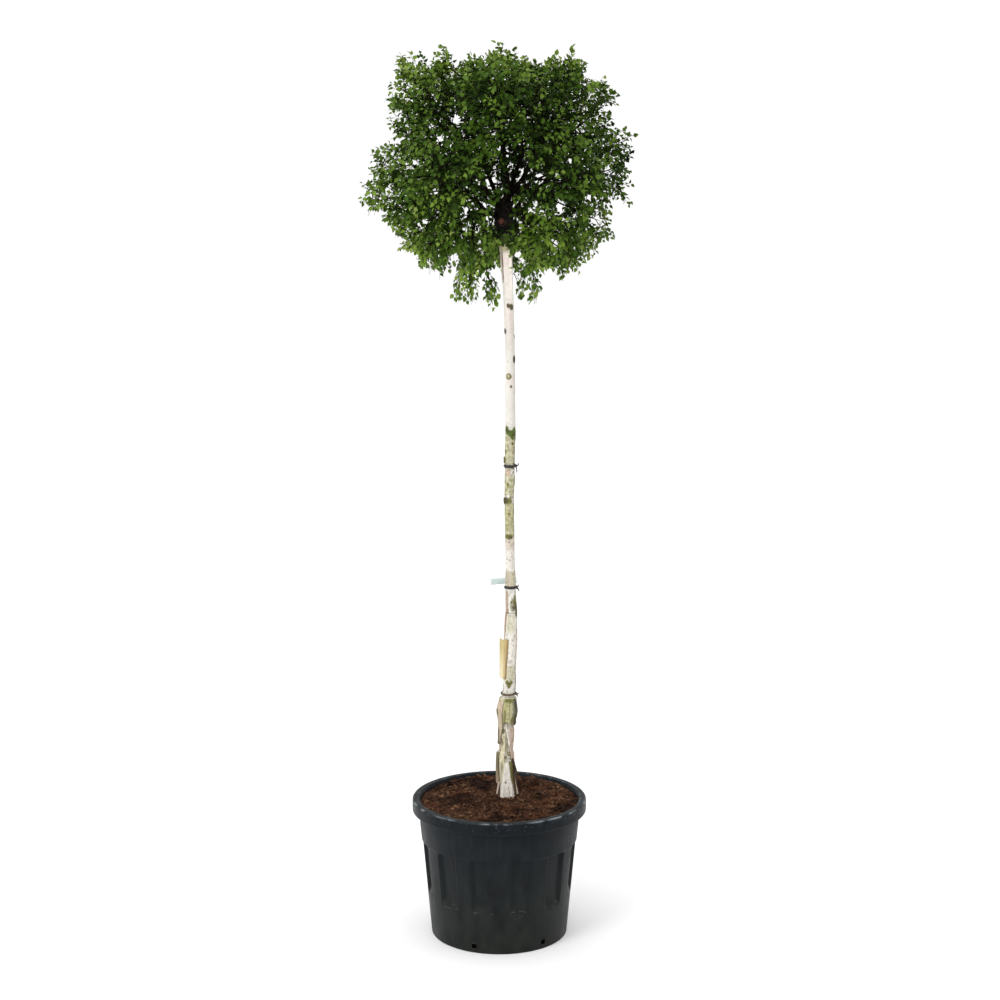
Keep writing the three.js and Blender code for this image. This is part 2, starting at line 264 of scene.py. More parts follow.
# %% Floor, sky and lamps
SKY_LOW, SKY_SIDES, SKY_TOP = 1.02, 0.55, 1.85
scene.view_settings.view_transform = "Standard"

floor_finish = Finish("pale_floor", roughness=0.9, gloss=0.1)
floor_finish.colour((0.93, 0.93, 0.93, 1))
floor = mesh_object("floor", [(-30, -30, 0), (30, -30, 0), (30, 30, 0), (-30, 30, 0)], [(0, 1, 2, 3)])
floor.data.materials.append(floor_finish.material)

sky = bpy.data.worlds.new("sky")
sky.use_nodes = True
scene.world = sky
sky_nodes, sky_links = sky.node_tree.nodes, sky.node_tree.links
sky_place = sky_nodes.new("ShaderNodeTexCoord")
sky_height = sky_nodes.new("ShaderNodeSeparateXYZ")
sky_links.new(sky_place.outputs["Generated"], sky_height.inputs["Vector"])
sky_strength = None
for low, high, dim, bright in ((0.20, 0.34, SKY_LOW, SKY_SIDES), (0.40, 1.0, 0.0, SKY_TOP - SKY_SIDES)):
    band = sky_nodes.new("ShaderNodeMapRange")
    band.interpolation_type = "SMOOTHSTEP"
    for key, value in (("From Min", low), ("From Max", high), ("To Min", dim), ("To Max", bright)):
        band.inputs[key].default_value = value
    sky_links.new(sky_height.outputs["Z"], band.inputs["Value"])
    if sky_strength is None:
        sky_strength = band
        continue
    total_light = sky_nodes.new("ShaderNodeMath")
    sky_links.new(sky_strength.outputs["Result"], total_light.inputs[0])
    sky_links.new(band.outputs["Result"], total_light.inputs[1])
    sky_links.new(total_light.outputs[0], sky_nodes["Background"].inputs["Strength"])
sky_nodes["Background"].inputs["Color"].default_value = (1, 1, 1, 1)


def softbox(name, place, target, size, energy, spread=180):
    """A round soft lamp that faces its target."""
    lamp = bpy.data.lights.new(name, "AREA")
    lamp.shape, lamp.size, lamp.energy, lamp.spread = "DISK", size, energy, math.radians(spread)
    held = bpy.data.objects.new(name, lamp)
    held.location = place
    held.rotation_euler = (Vector(target) - Vector(place)).to_track_quat("-Z", "Y").to_euler()
    scene.collection.objects.link(held)


softbox("high_softbox", (-2.9, -3.2, 3.0), (0, 0, 1.9), 2.2, 100)
softbox("low_softbox", (-0.30, -2.6, 0.62), (0.017, 0, 1.935), 0.25, 0.16, 6)

# %% [markdown]
# ## The pot
# The real pot is one piece of moulded plastic: a wall with twelve shallow panels pressed into it,
# six drain holes at its foot, a smooth collar above the panels, and a hollow rim that turns
# outwards and down. It is a turned shape
# whose radius also changes round the axis, so it is drawn as a profile swept round in small steps,
# with the panels' depth taken off the radius. A lathe alone couldn't make the panels, and cutting
# them out afterwards would leave rough edges.

# %% Pot sizes
pot_low, pot_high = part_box("pot")
POT_HEIGHT = pot_high.z
RIM_RADIUS = (pot_high.x - pot_low.x) / 2
PLASTIC = 0.003
PANEL_PITCH = 360 / 12
PANEL_BEARING = 17.0
PANEL_HALF = 8.5
PANEL_BEVEL = 0.9
PANEL_DEPTH = 0.0085
PANEL_FADE = (0.112, 0.150)
PANEL_END = (0.2788, 0.2744)
HOLE_BEARINGS = [8.5 + 60 * i for i in range(6)]
HOLE_ROWS = (0.0138, 0.0270)
RIM_FOOT = 0.3645
POT_COLUMNS = 432
FLOOR_TOP = 0.004
print("pot", round(POT_HEIGHT, 3), "high,", round(2 * RIM_RADIUS, 3), "across")


# %% Pot profile
def wall_radius(height):
    return float(np.interp(height, [0.003, 0.276, 0.280, 0.328], [0.1964, 0.2208, 0.224, 0.229]))


def corner(centre, radius, start, end, steps=5):
    """Points on a quarter round, for an edge that the mould leaves soft."""
    turns = np.radians(np.linspace(start, end, steps))
    return [(centre[0] + radius * math.cos(t), centre[1] + radius * math.sin(t)) for t in turns]


panel_rows = list(np.arange(0.036, 0.100, 0.012)) + list(np.arange(0.108, 0.272, 0.004))
outer = [(0.05, 0.0), (0.15, 0.0), (0.190, 0.0)]
outer += corner((0.1934, 0.003), 0.003, -90, 0)
outer += [(wall_radius(z), z) for z in (0.009, *HOLE_ROWS)]
outer += [(wall_radius(z), z) for z in panel_rows]
outer += [(wall_radius(z), z) for z in (0.2722, 0.2738, 0.2752, 0.2764, 0.2776, 0.2788, 0.280, 0.2812)]
outer += [(wall_radius(z), z) for z in np.linspace(0.284, 0.326, 9)]
under_rim = [(0.229, 0.334), (0.229, 0.36), (0.229, 0.392), (0.234, 0.3965), (0.243, 0.3955), (0.2468, 0.390)]
under_rim += [(0.2471, 0.378), (0.2469, RIM_FOOT + 0.004)]
rim = corner((0.2482, RIM_FOOT + 0.0018), 0.0018, 190, 350, 6)
rim += [(0.2502, 0.371), (0.2503, 0.377), (0.2502, 0.384)]
rim += corner((0.2445, 0.3944), 0.0056, 0, 90, 9)
rim += [(0.2410, 0.4000), (0.2375, 0.3998), (0.2345, 0.3998)] + corner((0.2335, 0.3975), 0.0024, 90, 170, 4)
inner = [(0.2290, 0.3945), (0.2262, 0.3905)]
inner_rows = (0.36, 0.328, 0.30, 0.28, 0.274, 0.20, 0.15, 0.13, 0.112, 0.06, *reversed(HOLE_ROWS), 0.008)
inner += [(wall_radius(z) - PLASTIC, z) for z in inner_rows]
inner += [(radius, FLOOR_TOP) for radius in (0.188, 0.10, 0.03)]
pot_profile = outer + under_rim + rim + inner
print("pot profile has", len(pot_profile), "points")


# %% Pot mesh
def panel_share(bearing):
    """1 in the middle of a pressed panel, 0 between the panels."""
    off = abs((bearing - PANEL_BEARING + PANEL_PITCH / 2) % PANEL_PITCH - PANEL_PITCH / 2)
    return float(smoothstep(PANEL_HALF, PANEL_HALF - PANEL_BEVEL, off))


def make_pot():
    step = 360 / POT_COLUMNS
    start = (HOLE_BEARINGS[0] - 2 * step) % step
    bearings = start + step * np.arange(POT_COLUMNS)
    shares = np.array([panel_share(b) for b in bearings])
    turn = np.radians(bearings)
    places, wear, rim_highlight = [], [], []
    wall_first, wall_last = len(outer[:8]), len(outer)
    for i, (radius, height) in enumerate(pot_profile):
        pressed = 0.0
        if wall_first <= i < wall_last or len(pot_profile) - len(inner) <= i:
            pressed = smoothstep(*PANEL_FADE, height) * smoothstep(*PANEL_END, height)
        row = radius - PANEL_DEPTH * pressed * shares
        places += list(zip(row * np.cos(turn), row * np.sin(turn), np.full(POT_COLUMNS, height)))
        foot = math.exp(-(((height - 0.122) / 0.012) ** 2)) if pressed or height < 0.13 else 0.0
        wear += list(foot * shares if i < wall_last else 0 * shares)
        # This attribute paints a highlight along the rim's outer top edge and a paler line along its inner
        # lip.
        edge = math.exp(-(math.hypot(radius - 0.2485, height - 0.3984) / 0.0024) ** 2)
        lip = 0.5 * math.exp(-(math.hypot(radius - 0.2325, height - 0.3995) / 0.0016) ** 2)
        rim_highlight += [edge + lip] * POT_COLUMNS
    faces = grid_faces(len(pot_profile), POT_COLUMNS)
    rows = [i for i, (r, z) in enumerate(pot_profile) if any(abs(z - h) < 1e-6 for h in HOLE_ROWS)]
    low_out, high_out, high_in, low_in = rows
    gone, added = set(), []
    for bearing in HOLE_BEARINGS:
        first = round((bearing - start) / step) - 2
        span = [(first + k) % POT_COLUMNS for k in range(6)]
        for row in (low_out, high_in):
            gone.update(row * POT_COLUMNS + c for c in span[:-1])
        at = lambda row, c: row * POT_COLUMNS + c
        for a, b in zip(span, span[1:]):
            added.append((at(low_out, a), at(low_in, a), at(low_in, b), at(low_out, b)))
            added.append((at(high_out, b), at(high_in, b), at(high_in, a), at(high_out, a)))
        added.append(tuple(at(row, span[0]) for row in (low_out, high_out, high_in, low_in)))
        added.append(tuple(at(row, span[-1]) for row in (low_out, low_in, high_in, high_out)))
    faces = [face for i, face in enumerate(faces) if i not in gone] + added
    under, floor_centre = len(places), len(places) + 1
    places += [(0, 0, 0), (0, 0, FLOOR_TOP)]
    wear += [0, 0]
    rim_highlight += [0, 0]
    last = (len(pot_profile) - 1) * POT_COLUMNS
    for c in range(POT_COLUMNS):
        after = (c + 1) % POT_COLUMNS
        faces += [(under, after, c), (floor_centre, last + c, last + after)]
    made = mesh_object("pot_shell", places, faces)
    paint_attribute(made, "scuff", wear)
    paint_attribute(made, "rim_highlight", rim_highlight)
    return report(made)


pot_shell = make_pot()

# %% [markdown]
# The plastic is a cool black with a dull shine. Outdoor use leaves it dusty, with a green-brown
# bloom low on the wall, pale scuffed spots at the panels' feet and a rim greyed partly by wear and
# partly by a painted highlight along its outer top edge and a paler line at its inner lip. Dirt is
# mixed in by height and noise, and the scuffs and the painted rim highlight by attributes that the
# mesh carries.

# %% Pot finish
plastic = Finish("pot_plastic", roughness=0.42, gloss=0.13)
height_on_pot = plastic.height()
mottle = plastic.noise(26, 6, plastic.stretched((1, 1, 0.45)))
streaks = plastic.noise(60, 5, plastic.stretched((1, 1, 0.08)))
base_black = plastic.mix(plastic.ramp(mottle, 0.32, 0.70), tint(5, 10, 15), tint(20, 27, 31))
low_share = plastic.ramp(height_on_pot, 0.30, 0.02)
bloom = plastic.times(low_share, plastic.ramp(mottle, 0.30, 0.80, 0.3, 1.0))
with_bloom = plastic.mix(plastic.times(bloom, 0.7), base_black, tint(42, 43, 34))
with_streaks = plastic.mix(plastic.ramp(streaks, 0.56, 0.80, 0, 0.35), with_bloom, tint(40, 44, 45))
scratches = plastic.noise(150, 5, plastic.stretched((0.35, 0.35, 1.6)))
speckle = plastic.times(plastic.attribute("scuff"), plastic.ramp(scratches, 0.56, 0.64))
with_scuffs = plastic.mix(plastic.times(speckle, 0.34), with_streaks, tint(92, 96, 94))
on_rim = plastic.ramp(height_on_pot, 0.364, 0.372)
face_share = plastic.times(on_rim, plastic.ramp(mottle, 0.36, 0.56, 0.2, 0.9))
with_face = plastic.mix(face_share, with_scuffs, tint(4, 10, 16))
# Painted highlight, partly wear: the rim's outer top edge and inner lip are mixed towards light grey, broken
# up by noise.
rim_highlight_edge = plastic.attribute("rim_highlight")
rim_highlight_and_wear = plastic.times(rim_highlight_edge, plastic.ramp(plastic.noise(28, 5), 0.49, 0.64, 0.06, 0.9))
with_rim_highlight = plastic.mix(rim_highlight_and_wear, with_face, tint(132, 140, 144))
high_on_rim = plastic.ramp(height_on_pot, 0.366, 0.386)
flecks = plastic.times(high_on_rim, plastic.ramp(plastic.noise(210, 3), 0.64, 0.70))
plastic.colour(plastic.mix(plastic.times(flecks, 0.6), with_rim_highlight, tint(96, 108, 124)))
plastic.roughness(plastic.ramp(mottle, 0.3, 0.7, 0.36, 0.56))
moulded = plastic.maths("ADD", plastic.noise(900, 2), plastic.times(mottle, 2.0))
plastic.relief(moulded, 0.0004, 0.6)
pot_shell.data.materials.append(plastic.material)
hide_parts("pot")
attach(pot_shell, "root")
print("pot finished")

# %% [markdown]
# ## The soil
# Potting mix is coarse: shreds of bark, fibres and crumbs of peat, mounded to the stem and banked
# a little higher at the back. The body is a round mesh with a lumpy top, which is easy to shape
# with noise. Thousands of chips lie on it, and those repeat, so Geometry Nodes scatters a few
# chip shapes over the top with a seed.

# %% Soil body
_, soil_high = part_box("soil")
SOIL_EDGE = 0.3875
SOIL_TOP = soil_high.z
STEM_FOOT = Vector((0.024, 0.005, SOIL_TOP))


def soil_height(x, y):
    """The top of the soil without its crumbs."""
    out = math.hypot(x, y)
    rise = 1 - smoothstep(0.045, 0.215, out)
    wave = turbulence.noise(Vector((x * 16, y * 16, 3.1))) * 0.0045
    collar = 0.0050 * math.exp(-(math.hypot(x - STEM_FOOT.x, y - STEM_FOOT.y) / 0.055) ** 2)
    banked = 0.0050 * float(smoothstep(0.05, 0.20, y))
    return SOIL_EDGE + (SOIL_TOP - SOIL_EDGE) * float(rise) + wave * min(1, 1.3 - out * 4) + collar + banked


def make_soil():
    columns, rings = 150, 48
    side_levels = (0.0045, 0.1, 0.2, 0.285, 0.34)
    turn = np.linspace(0, 2 * math.pi, columns, endpoint=False)
    places = []
    for depth in side_levels:
        radius = wall_radius(depth) - PLASTIC - 0.0006 - (PANEL_DEPTH if depth < 0.3 else 0)
        places += [(radius * math.cos(t), radius * math.sin(t), depth) for t in turn]
    edge = wall_radius(0.38) - PLASTIC - 0.0004
    for ring in range(rings):
        radius = edge * (1 - ring / rings)
        for t in turn:
            x, y = radius * math.cos(t), radius * math.sin(t)
            crumbs = turbulence.noise(Vector((x * 62, y * 62, 0))) * 0.0046
            crumbs += turbulence.noise(Vector((x * 190, y * 190, 5))) * 0.0016
            places.append((x, y, soil_height(x, y) + crumbs))
    levels = len(side_levels) + rings
    faces = grid_faces(levels, columns)
    faces.append(tuple(reversed(range(columns))))
    faces.append(tuple(range((levels - 1) * columns, levels * columns)))
    return report(mesh_object("soil_body", places, faces))


soil_body = make_soil()


# %% [markdown]
# The scatter tree takes the soil's top, drops points on it, puts a random chip on each with a
# random turn and size, and stores a random tint number that the material reads. Realize
# Instances at the end makes plain geometry of them, because an export drops instances.


# %% Chip shapes and scatter tree
def chip_shape(name, long, wide, thick, seed):
    """A rough splinter of bark: a wedge of eight corners, pushed out of square."""
    shake = np.random.default_rng(seed)
    corners = [(x * long, y * wide, z * thick) for z in (-0.5, 0.5) for y in (-0.5, 0.5) for x in (-0.5, 0.5)]
    corners = [np.array(c) * shake.uniform(0.55, 1.15, 3) for c in corners]
    faces = [(0, 2, 3, 1), (4, 5, 7, 6), (0, 1, 5, 4), (2, 6, 7, 3), (1, 3, 7, 5), (0, 4, 6, 2)]
    made = mesh_object(name, corners, faces, smooth=False)
    scene.collection.objects.unlink(made)
    return made


chip_shapes = bpy.data.collections.new("chip_shapes")
CHIP_SIZES = [
    (0.015, 0.006, 0.003), (0.009, 0.007, 0.004), (0.024, 0.0028, 0.0018), (0.007, 0.006, 0.005),
    (0.012, 0.003, 0.002),
]
for i, (long, wide, thick) in enumerate(CHIP_SIZES):
    chip_shapes.objects.link(chip_shape(f"chip_{i}", long, wide, thick, 40 + i))


def new_tree(name, inputs):
    """An empty modifier tree with a geometry in and out, and the named inputs given."""
    tree = bpy.data.node_groups.new(name, "GeometryNodeTree")
    tree.interface.new_socket("Geometry", in_out="INPUT", socket_type="NodeSocketGeometry")
    keys = {}
    for label, kind in inputs.items():
        keys[label] = tree.interface.new_socket(label, in_out="INPUT", socket_type=kind).identifier
    tree.interface.new_socket("Geometry", in_out="OUTPUT", socket_type="NodeSocketGeometry")
    source, result = tree.nodes.new("NodeGroupInput"), tree.nodes.new("NodeGroupOutput")
    return tree, keys, source, result


def tree_node(tree, kind, inputs=None, **settings):
    made = tree.nodes.new(kind)
    for key, value in settings.items():
        setattr(made, key, value)
    for key, value in (inputs or {}).items():
        if isinstance(value, bpy.types.NodeSocket):
            tree.links.new(value, made.inputs[key])
        else:
            made.inputs[key].default_value = value
    return made


def separate_shapes(tree, collection):
    """The shapes of a collection, each one an instance to pick."""
    inputs = {"Collection": collection, "Separate Children": True, "Reset Children": True}
    return tree_node(tree, "GeometryNodeCollectionInfo", inputs).outputs[0]


def end_tree(tree, result, geometry, finish):
    """Makes plain geometry of the instances, gives it its material and ends the tree."""
    real = tree_node(tree, "GeometryNodeRealizeInstances", {"Geometry": geometry})
    finished = tree_node(tree, "GeometryNodeSetMaterial", {"Geometry": real.outputs[0], "Material": finish})
    tree.links.new(finished.outputs[0], result.inputs[0])


def run_tree(target, tree, keys, values):
    """Puts the tree on an object as a modifier and sets its inputs by their identifiers."""
    modifier = target.modifiers.new(tree.name, "NODES")
    modifier.node_group = tree
    for label, value in values.items():
        modifier[keys[label]] = value


CHIPS_ABOVE = 0.36


def chip_tree():
    tree, keys, source, result = new_tree("bark_chips", {
        "Density": "NodeSocketFloat", "Seed": "NodeSocketInt", "Shapes": "NodeSocketCollection",
        "Smallest": "NodeSocketFloat", "Largest": "NodeSocketFloat", "Tilt": "NodeSocketFloat",
        "Widest": "NodeSocketFloat", "Finish": "NodeSocketMaterial",
    })
    add = lambda kind, inputs=None, **settings: tree_node(tree, kind, inputs, **settings)
    out = source.outputs
    place = add("ShaderNodeSeparateXYZ", {0: add("GeometryNodeInputPosition").outputs[0]}).outputs
    flat = add("ShaderNodeCombineXYZ", {0: place["X"], 1: place["Y"], 2: 0.0})
    from_axis = add("ShaderNodeVectorMath", {0: flat.outputs[0]}, operation="LENGTH").outputs["Value"]
    above = add("FunctionNodeCompare", {0: place["Z"], 1: CHIPS_ABOVE}, operation="GREATER_THAN").outputs[0]
    within = add("FunctionNodeCompare", {0: from_axis, 1: out["Widest"]}, operation="LESS_THAN").outputs[0]
    on_top = add("FunctionNodeBooleanMath", {0: above, 1: within}, operation="AND").outputs[0]
    drop = add("GeometryNodeDistributePointsOnFaces", {
        "Mesh": out["Geometry"], "Selection": on_top, "Density": out["Density"], "Seed": out["Seed"]})
    tilt = out["Tilt"]
    back = add("ShaderNodeMath", {0: tilt, 1: -1.0}, operation="MULTIPLY").outputs[0]
    low = add("ShaderNodeCombineXYZ", {0: back, 1: back, 2: 0.0})
    high = add("ShaderNodeCombineXYZ", {0: tilt, 1: tilt, 2: 6.283})
    turns = {0: low.outputs[0], 1: high.outputs[0], "Seed": 3}
    turn = add("FunctionNodeRandomValue", turns, data_type="FLOAT_VECTOR")
    sizes = {2: out["Smallest"], 3: out["Largest"], "Seed": 5}
    size = add("FunctionNodeRandomValue", sizes, data_type="FLOAT")
    placed = add("GeometryNodeInstanceOnPoints", {
        "Points": drop.outputs["Points"], "Instance": separate_shapes(tree, out["Shapes"]),
        "Pick Instance": True,
        "Rotation": turn.outputs[0], "Scale": size.outputs[1]})
    shade = add("FunctionNodeRandomValue", {2: 0.0, 3: 1.0, "Seed": 9}, data_type="FLOAT")
    tinted = add("GeometryNodeStoreNamedAttribute", {
        "Geometry": placed.outputs[0], "Name": "tint", "Value": shade.outputs[1]},
        data_type="FLOAT", domain="INSTANCE")
    end_tree(tree, result, tinted.outputs[0], out["Finish"])
    return tree, keys


# %% [markdown]
# Bark and peat differ from crumb to crumb. The body takes its tone from noise, and a chip from
# its own tint number. Both have damp dark patches, and the mix low in the pot is darkened as
# painted shade, as dark as the shade behind the drain holes.

# %% Soil finish and chips
def soil_finish(name, dark, mid, light, by_chip):
    """Damp bark and peat in three tones, dealt out by chip or by noise, with painted shade low in the pot."""
    mix = Finish(name, roughness=0.95, gloss=0.08)
    coarse = mix.noise(38, 6)
    share = mix.attribute("tint") if by_chip else mix.ramp(coarse, 0.3, 0.7)
    body = mix.mix(mix.ramp(share, 0.0, 0.75), dark, mid)
    body = mix.mix(mix.ramp(share, 0.72, 1.0), body, light)
    fibres = mix.noise(160, 4, mix.stretched((1, 0.3, 1)))
    body = mix.mix(mix.ramp(fibres, 0.45, 0.75, 0, 0.6), body, mid)
    body = mix.mix(mix.ramp(mix.noise(17, 3), 0.50, 0.66, 0, 0.45), body, tint(84, 48, 30))
    damp_and_shade = mix.ramp(mix.noise(11, 4), 0.47, 0.60, 0, 0.84)
    # Painted shade: below about 0.36 m the mix is darkened to its dark tone, for the shade behind the drain
    # holes.
    damp_and_shade = mix.maths("MAXIMUM", damp_and_shade, mix.ramp(mix.height(), 0.36, 0.30))
    mix.colour(mix.mix(damp_and_shade, body, dark))
    mix.relief(mix.maths("ADD", fibres, mix.noise(420, 3)), 0.0012, 0.9)
    return mix.material


peat = soil_finish("potting_mix", tint(22, 12, 7), tint(72, 48, 34), tint(108, 80, 58), by_chip=False)
chips = soil_finish("bark_chips", tint(24, 13, 8), tint(80, 54, 38), tint(114, 86, 64), by_chip=True)
soil_body.data.materials.append(peat)

bark_tree, bark_keys = chip_tree()
carrier = bpy.data.objects.new("carrier", soil_body.data.copy())
scene.collection.objects.link(carrier)
run_tree(carrier, bark_tree, bark_keys, {
    "Density": 18000.0, "Seed": 11, "Shapes": chip_shapes, "Smallest": 0.5, "Largest": 1.5,
    "Tilt": 0.42, "Widest": 0.217, "Finish": chips})
soil_chips = report(settled(carrier, "soil_chips"))
for piece in (soil_body, soil_chips):
    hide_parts("soil")
    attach(piece, "root")

# %% [markdown]
# ## The stem
# The line and thickness of the stem come from the CAD solid's own rings. A much finer tube follows
# them, and every vertex knows its height and which side it is on, so bark features can be written
# as short lists of places: moss, scars, tan strips, dark cracks. Each feature goes both into the
# relief and into an attribute that the material reads, so colour and shape always agree.


# %% Stem line
def cad_rings(name, least):
    """Middle and mean radius of each level ring with at least so many corners, from the lowest up."""
    mesh = frame["nodes"][name].data
    points = {tuple(round(c, 5) for c in v.co) for v in mesh.vertices}
    levels = {}
    for point in points:
        levels.setdefault(round(point[2], 4), []).append(point)
    rows = []
    for height in sorted(levels):
        ring = np.array(levels[height])
        if len(ring) >= least:
            middle = ring.mean(0)
            radius = np.linalg.norm(ring[:, :2] - middle[:2], axis=1).mean()
            rows.append((height, middle[0], middle[1], radius))
    return np.array(rows)


stem_rows = cad_rings("trunk", 12)
HEAD = Vector((0.012, 0.004, 2.052))
print("stem rings", len(stem_rows), "from", stem_rows[0][0], "to", stem_rows[-1][0])

# %% [markdown]
# Bark marks are short lists of places, and each mark has a tone, how strongly it covers, and how
# far it stands proud in millimetres. A spot is an oval: height, side, half-height and half-width.
# A strip has four corners: its lowest and highest point, its two sides at the foot and its two
# sides at the head. Sides are degrees from the front, positive to the right. Torn edges come
# from noise.

# %% Bark marks
TONES = {
    "snow": tint(232, 226, 218), "cream": tint(214, 206, 172), "rind": tint(168, 164, 116),
    "buff": tint(180, 168, 144), "blush": tint(190, 166, 152), "grey": tint(132, 124, 110),
    "olive": tint(92, 90, 34), "moss": tint(56, 84, 12), "deep": tint(38, 40, 14),
    "tan": tint(138, 102, 74), "rust": tint(84, 44, 30), "bark": tint(66, 48, 30), "dark": tint(30, 24, 18),
}
STRIPS = [
    ("rind", 0.50, 0.0, 1.368, 1.450, -120, 120, -120, 120),
    ("rind", 0.62, 0.0, 1.170, 1.258, -120, 120, -120, 120),
    ("rind", 0.45, 0.0, 1.284, 1.336, -120, 120, -120, 120),
    ("blush", 0.40, 0.0, 1.131, 1.158, -120, 120, -120, 120),
    ("buff", 0.75, 0.3, 1.017, 1.064, -130, 130, -130, 130),
    ("grey", 0.35, 0.0, 1.040, 1.064, -130, -30, -130, -40),
    ("bark", 0.88, -1.2, 1.875, 1.985, -56, -41, -50, -32),
    ("buff", 0.80, 0.4, 1.875, 1.985, -125, -57, -110, -52),
    ("bark", 0.60, -0.6, 1.850, 1.985, -92, -82, -90, -80),
    ("buff", 0.60, 0.0, 1.955, 1.990, -60, 90, -60, 90),
    # Painted shade: a dark strip along the stem's right edge, 1.35 to 1.44 m high.
    ("bark", 0.75, -0.6, 1.350, 1.443, 58, 100, 62, 100),
    ("snow", 0.95, 0.5, 1.470, 1.484, -4, 14, -54, -30),
    # Painted shade: a dark strip along the stem's right edge, 1.13 to 1.27 m high.
    ("bark", 0.70, -0.3, 1.130, 1.266, 60, 105, 60, 105),
    ("olive", 0.45, 0.0, 1.172, 1.256, -110, -58, -110, -66),
    ("tan", 0.70, -0.4, 0.942, 1.008, -90, -30, -84, -28),
    ("bark", 0.70, -0.6, 0.9412, 0.9450, -70, 100, -70, 100),
    ("blush", 0.75, -0.5, 0.720, 0.930, 58, 112, 66, 112),
    ("rind", 0.50, 0.0, 0.745, 0.790, -80, 60, -70, 40), ("snow", 0.60, 0.3, 0.800, 0.925, -20, 50, -8, 44),
    ("bark", 0.75, -0.8, 0.710, 0.742, -110, -58, -110, -78),
    ("rind", 0.50, 0.0, 0.885, 0.938, -50, 30, -40, 40), ("grey", 0.60, -0.8, 0.770, 0.905, 46, 52, 52, 57),
    ("bark", 0.90, -0.9, 0.396, 0.612, -58, -49, -56, -46),
    ("buff", 0.90, 0.8, 0.500, 0.612, -118, -56, -118, -54),
    ("cream", 0.80, 0.2, 0.500, 0.606, -46, -12, -46, -14),
    ("olive", 0.50, -0.3, 0.505, 0.606, -10, 14, -14, 8),
    ("blush", 0.85, 0.3, 0.500, 0.612, 40, 118, 12, 118),
    ("bark", 0.90, -0.9, 0.512, 0.560, 34, 40, 20, 25), ("snow", 1.00, 1.5, 0.545, 0.624, 24, 36, -18, -3),
    ("tan", 0.55, 0.0, 0.560, 0.600, 70, 104, 70, 104), ("bark", 0.95, 0.8, 0.396, 0.500, 44, 116, 40, 116),
    ("olive", 0.90, 0.5, 0.440, 0.508, 34, 54, 20, 52),
    ("bark", 0.90, 0.2, 0.396, 0.438, -104, -50, -100, -60),
    ("rind", 0.50, 0.4, 0.440, 0.505, -48, -16, -46, 0), ("snow", 1.00, 1.1, 0.396, 0.506, -50, 47, -4, 18),
    ("grey", 0.50, -0.8, 0.398, 0.436, 16, 21, 12, 15),
    ("grey", 0.45, -0.8, 0.398, 0.430, -24, -19, -17, -14),
    ("grey", 0.80, 0.0, 0.396, 0.61, 130, 230, 120, 240),
    ("olive", 0.60, 0.4, 0.50, 0.60, 150, 200, 140, 190),
    ("rind", 0.55, 0.0, 1.18, 1.46, 140, 215, 150, 200),
    ("blush", 0.50, 0.0, 0.78, 0.98, -165, -110, -160, -120),
    ("rind", 0.55, 0.0, 0.73, 0.92, 130, 190, 140, 180),
]
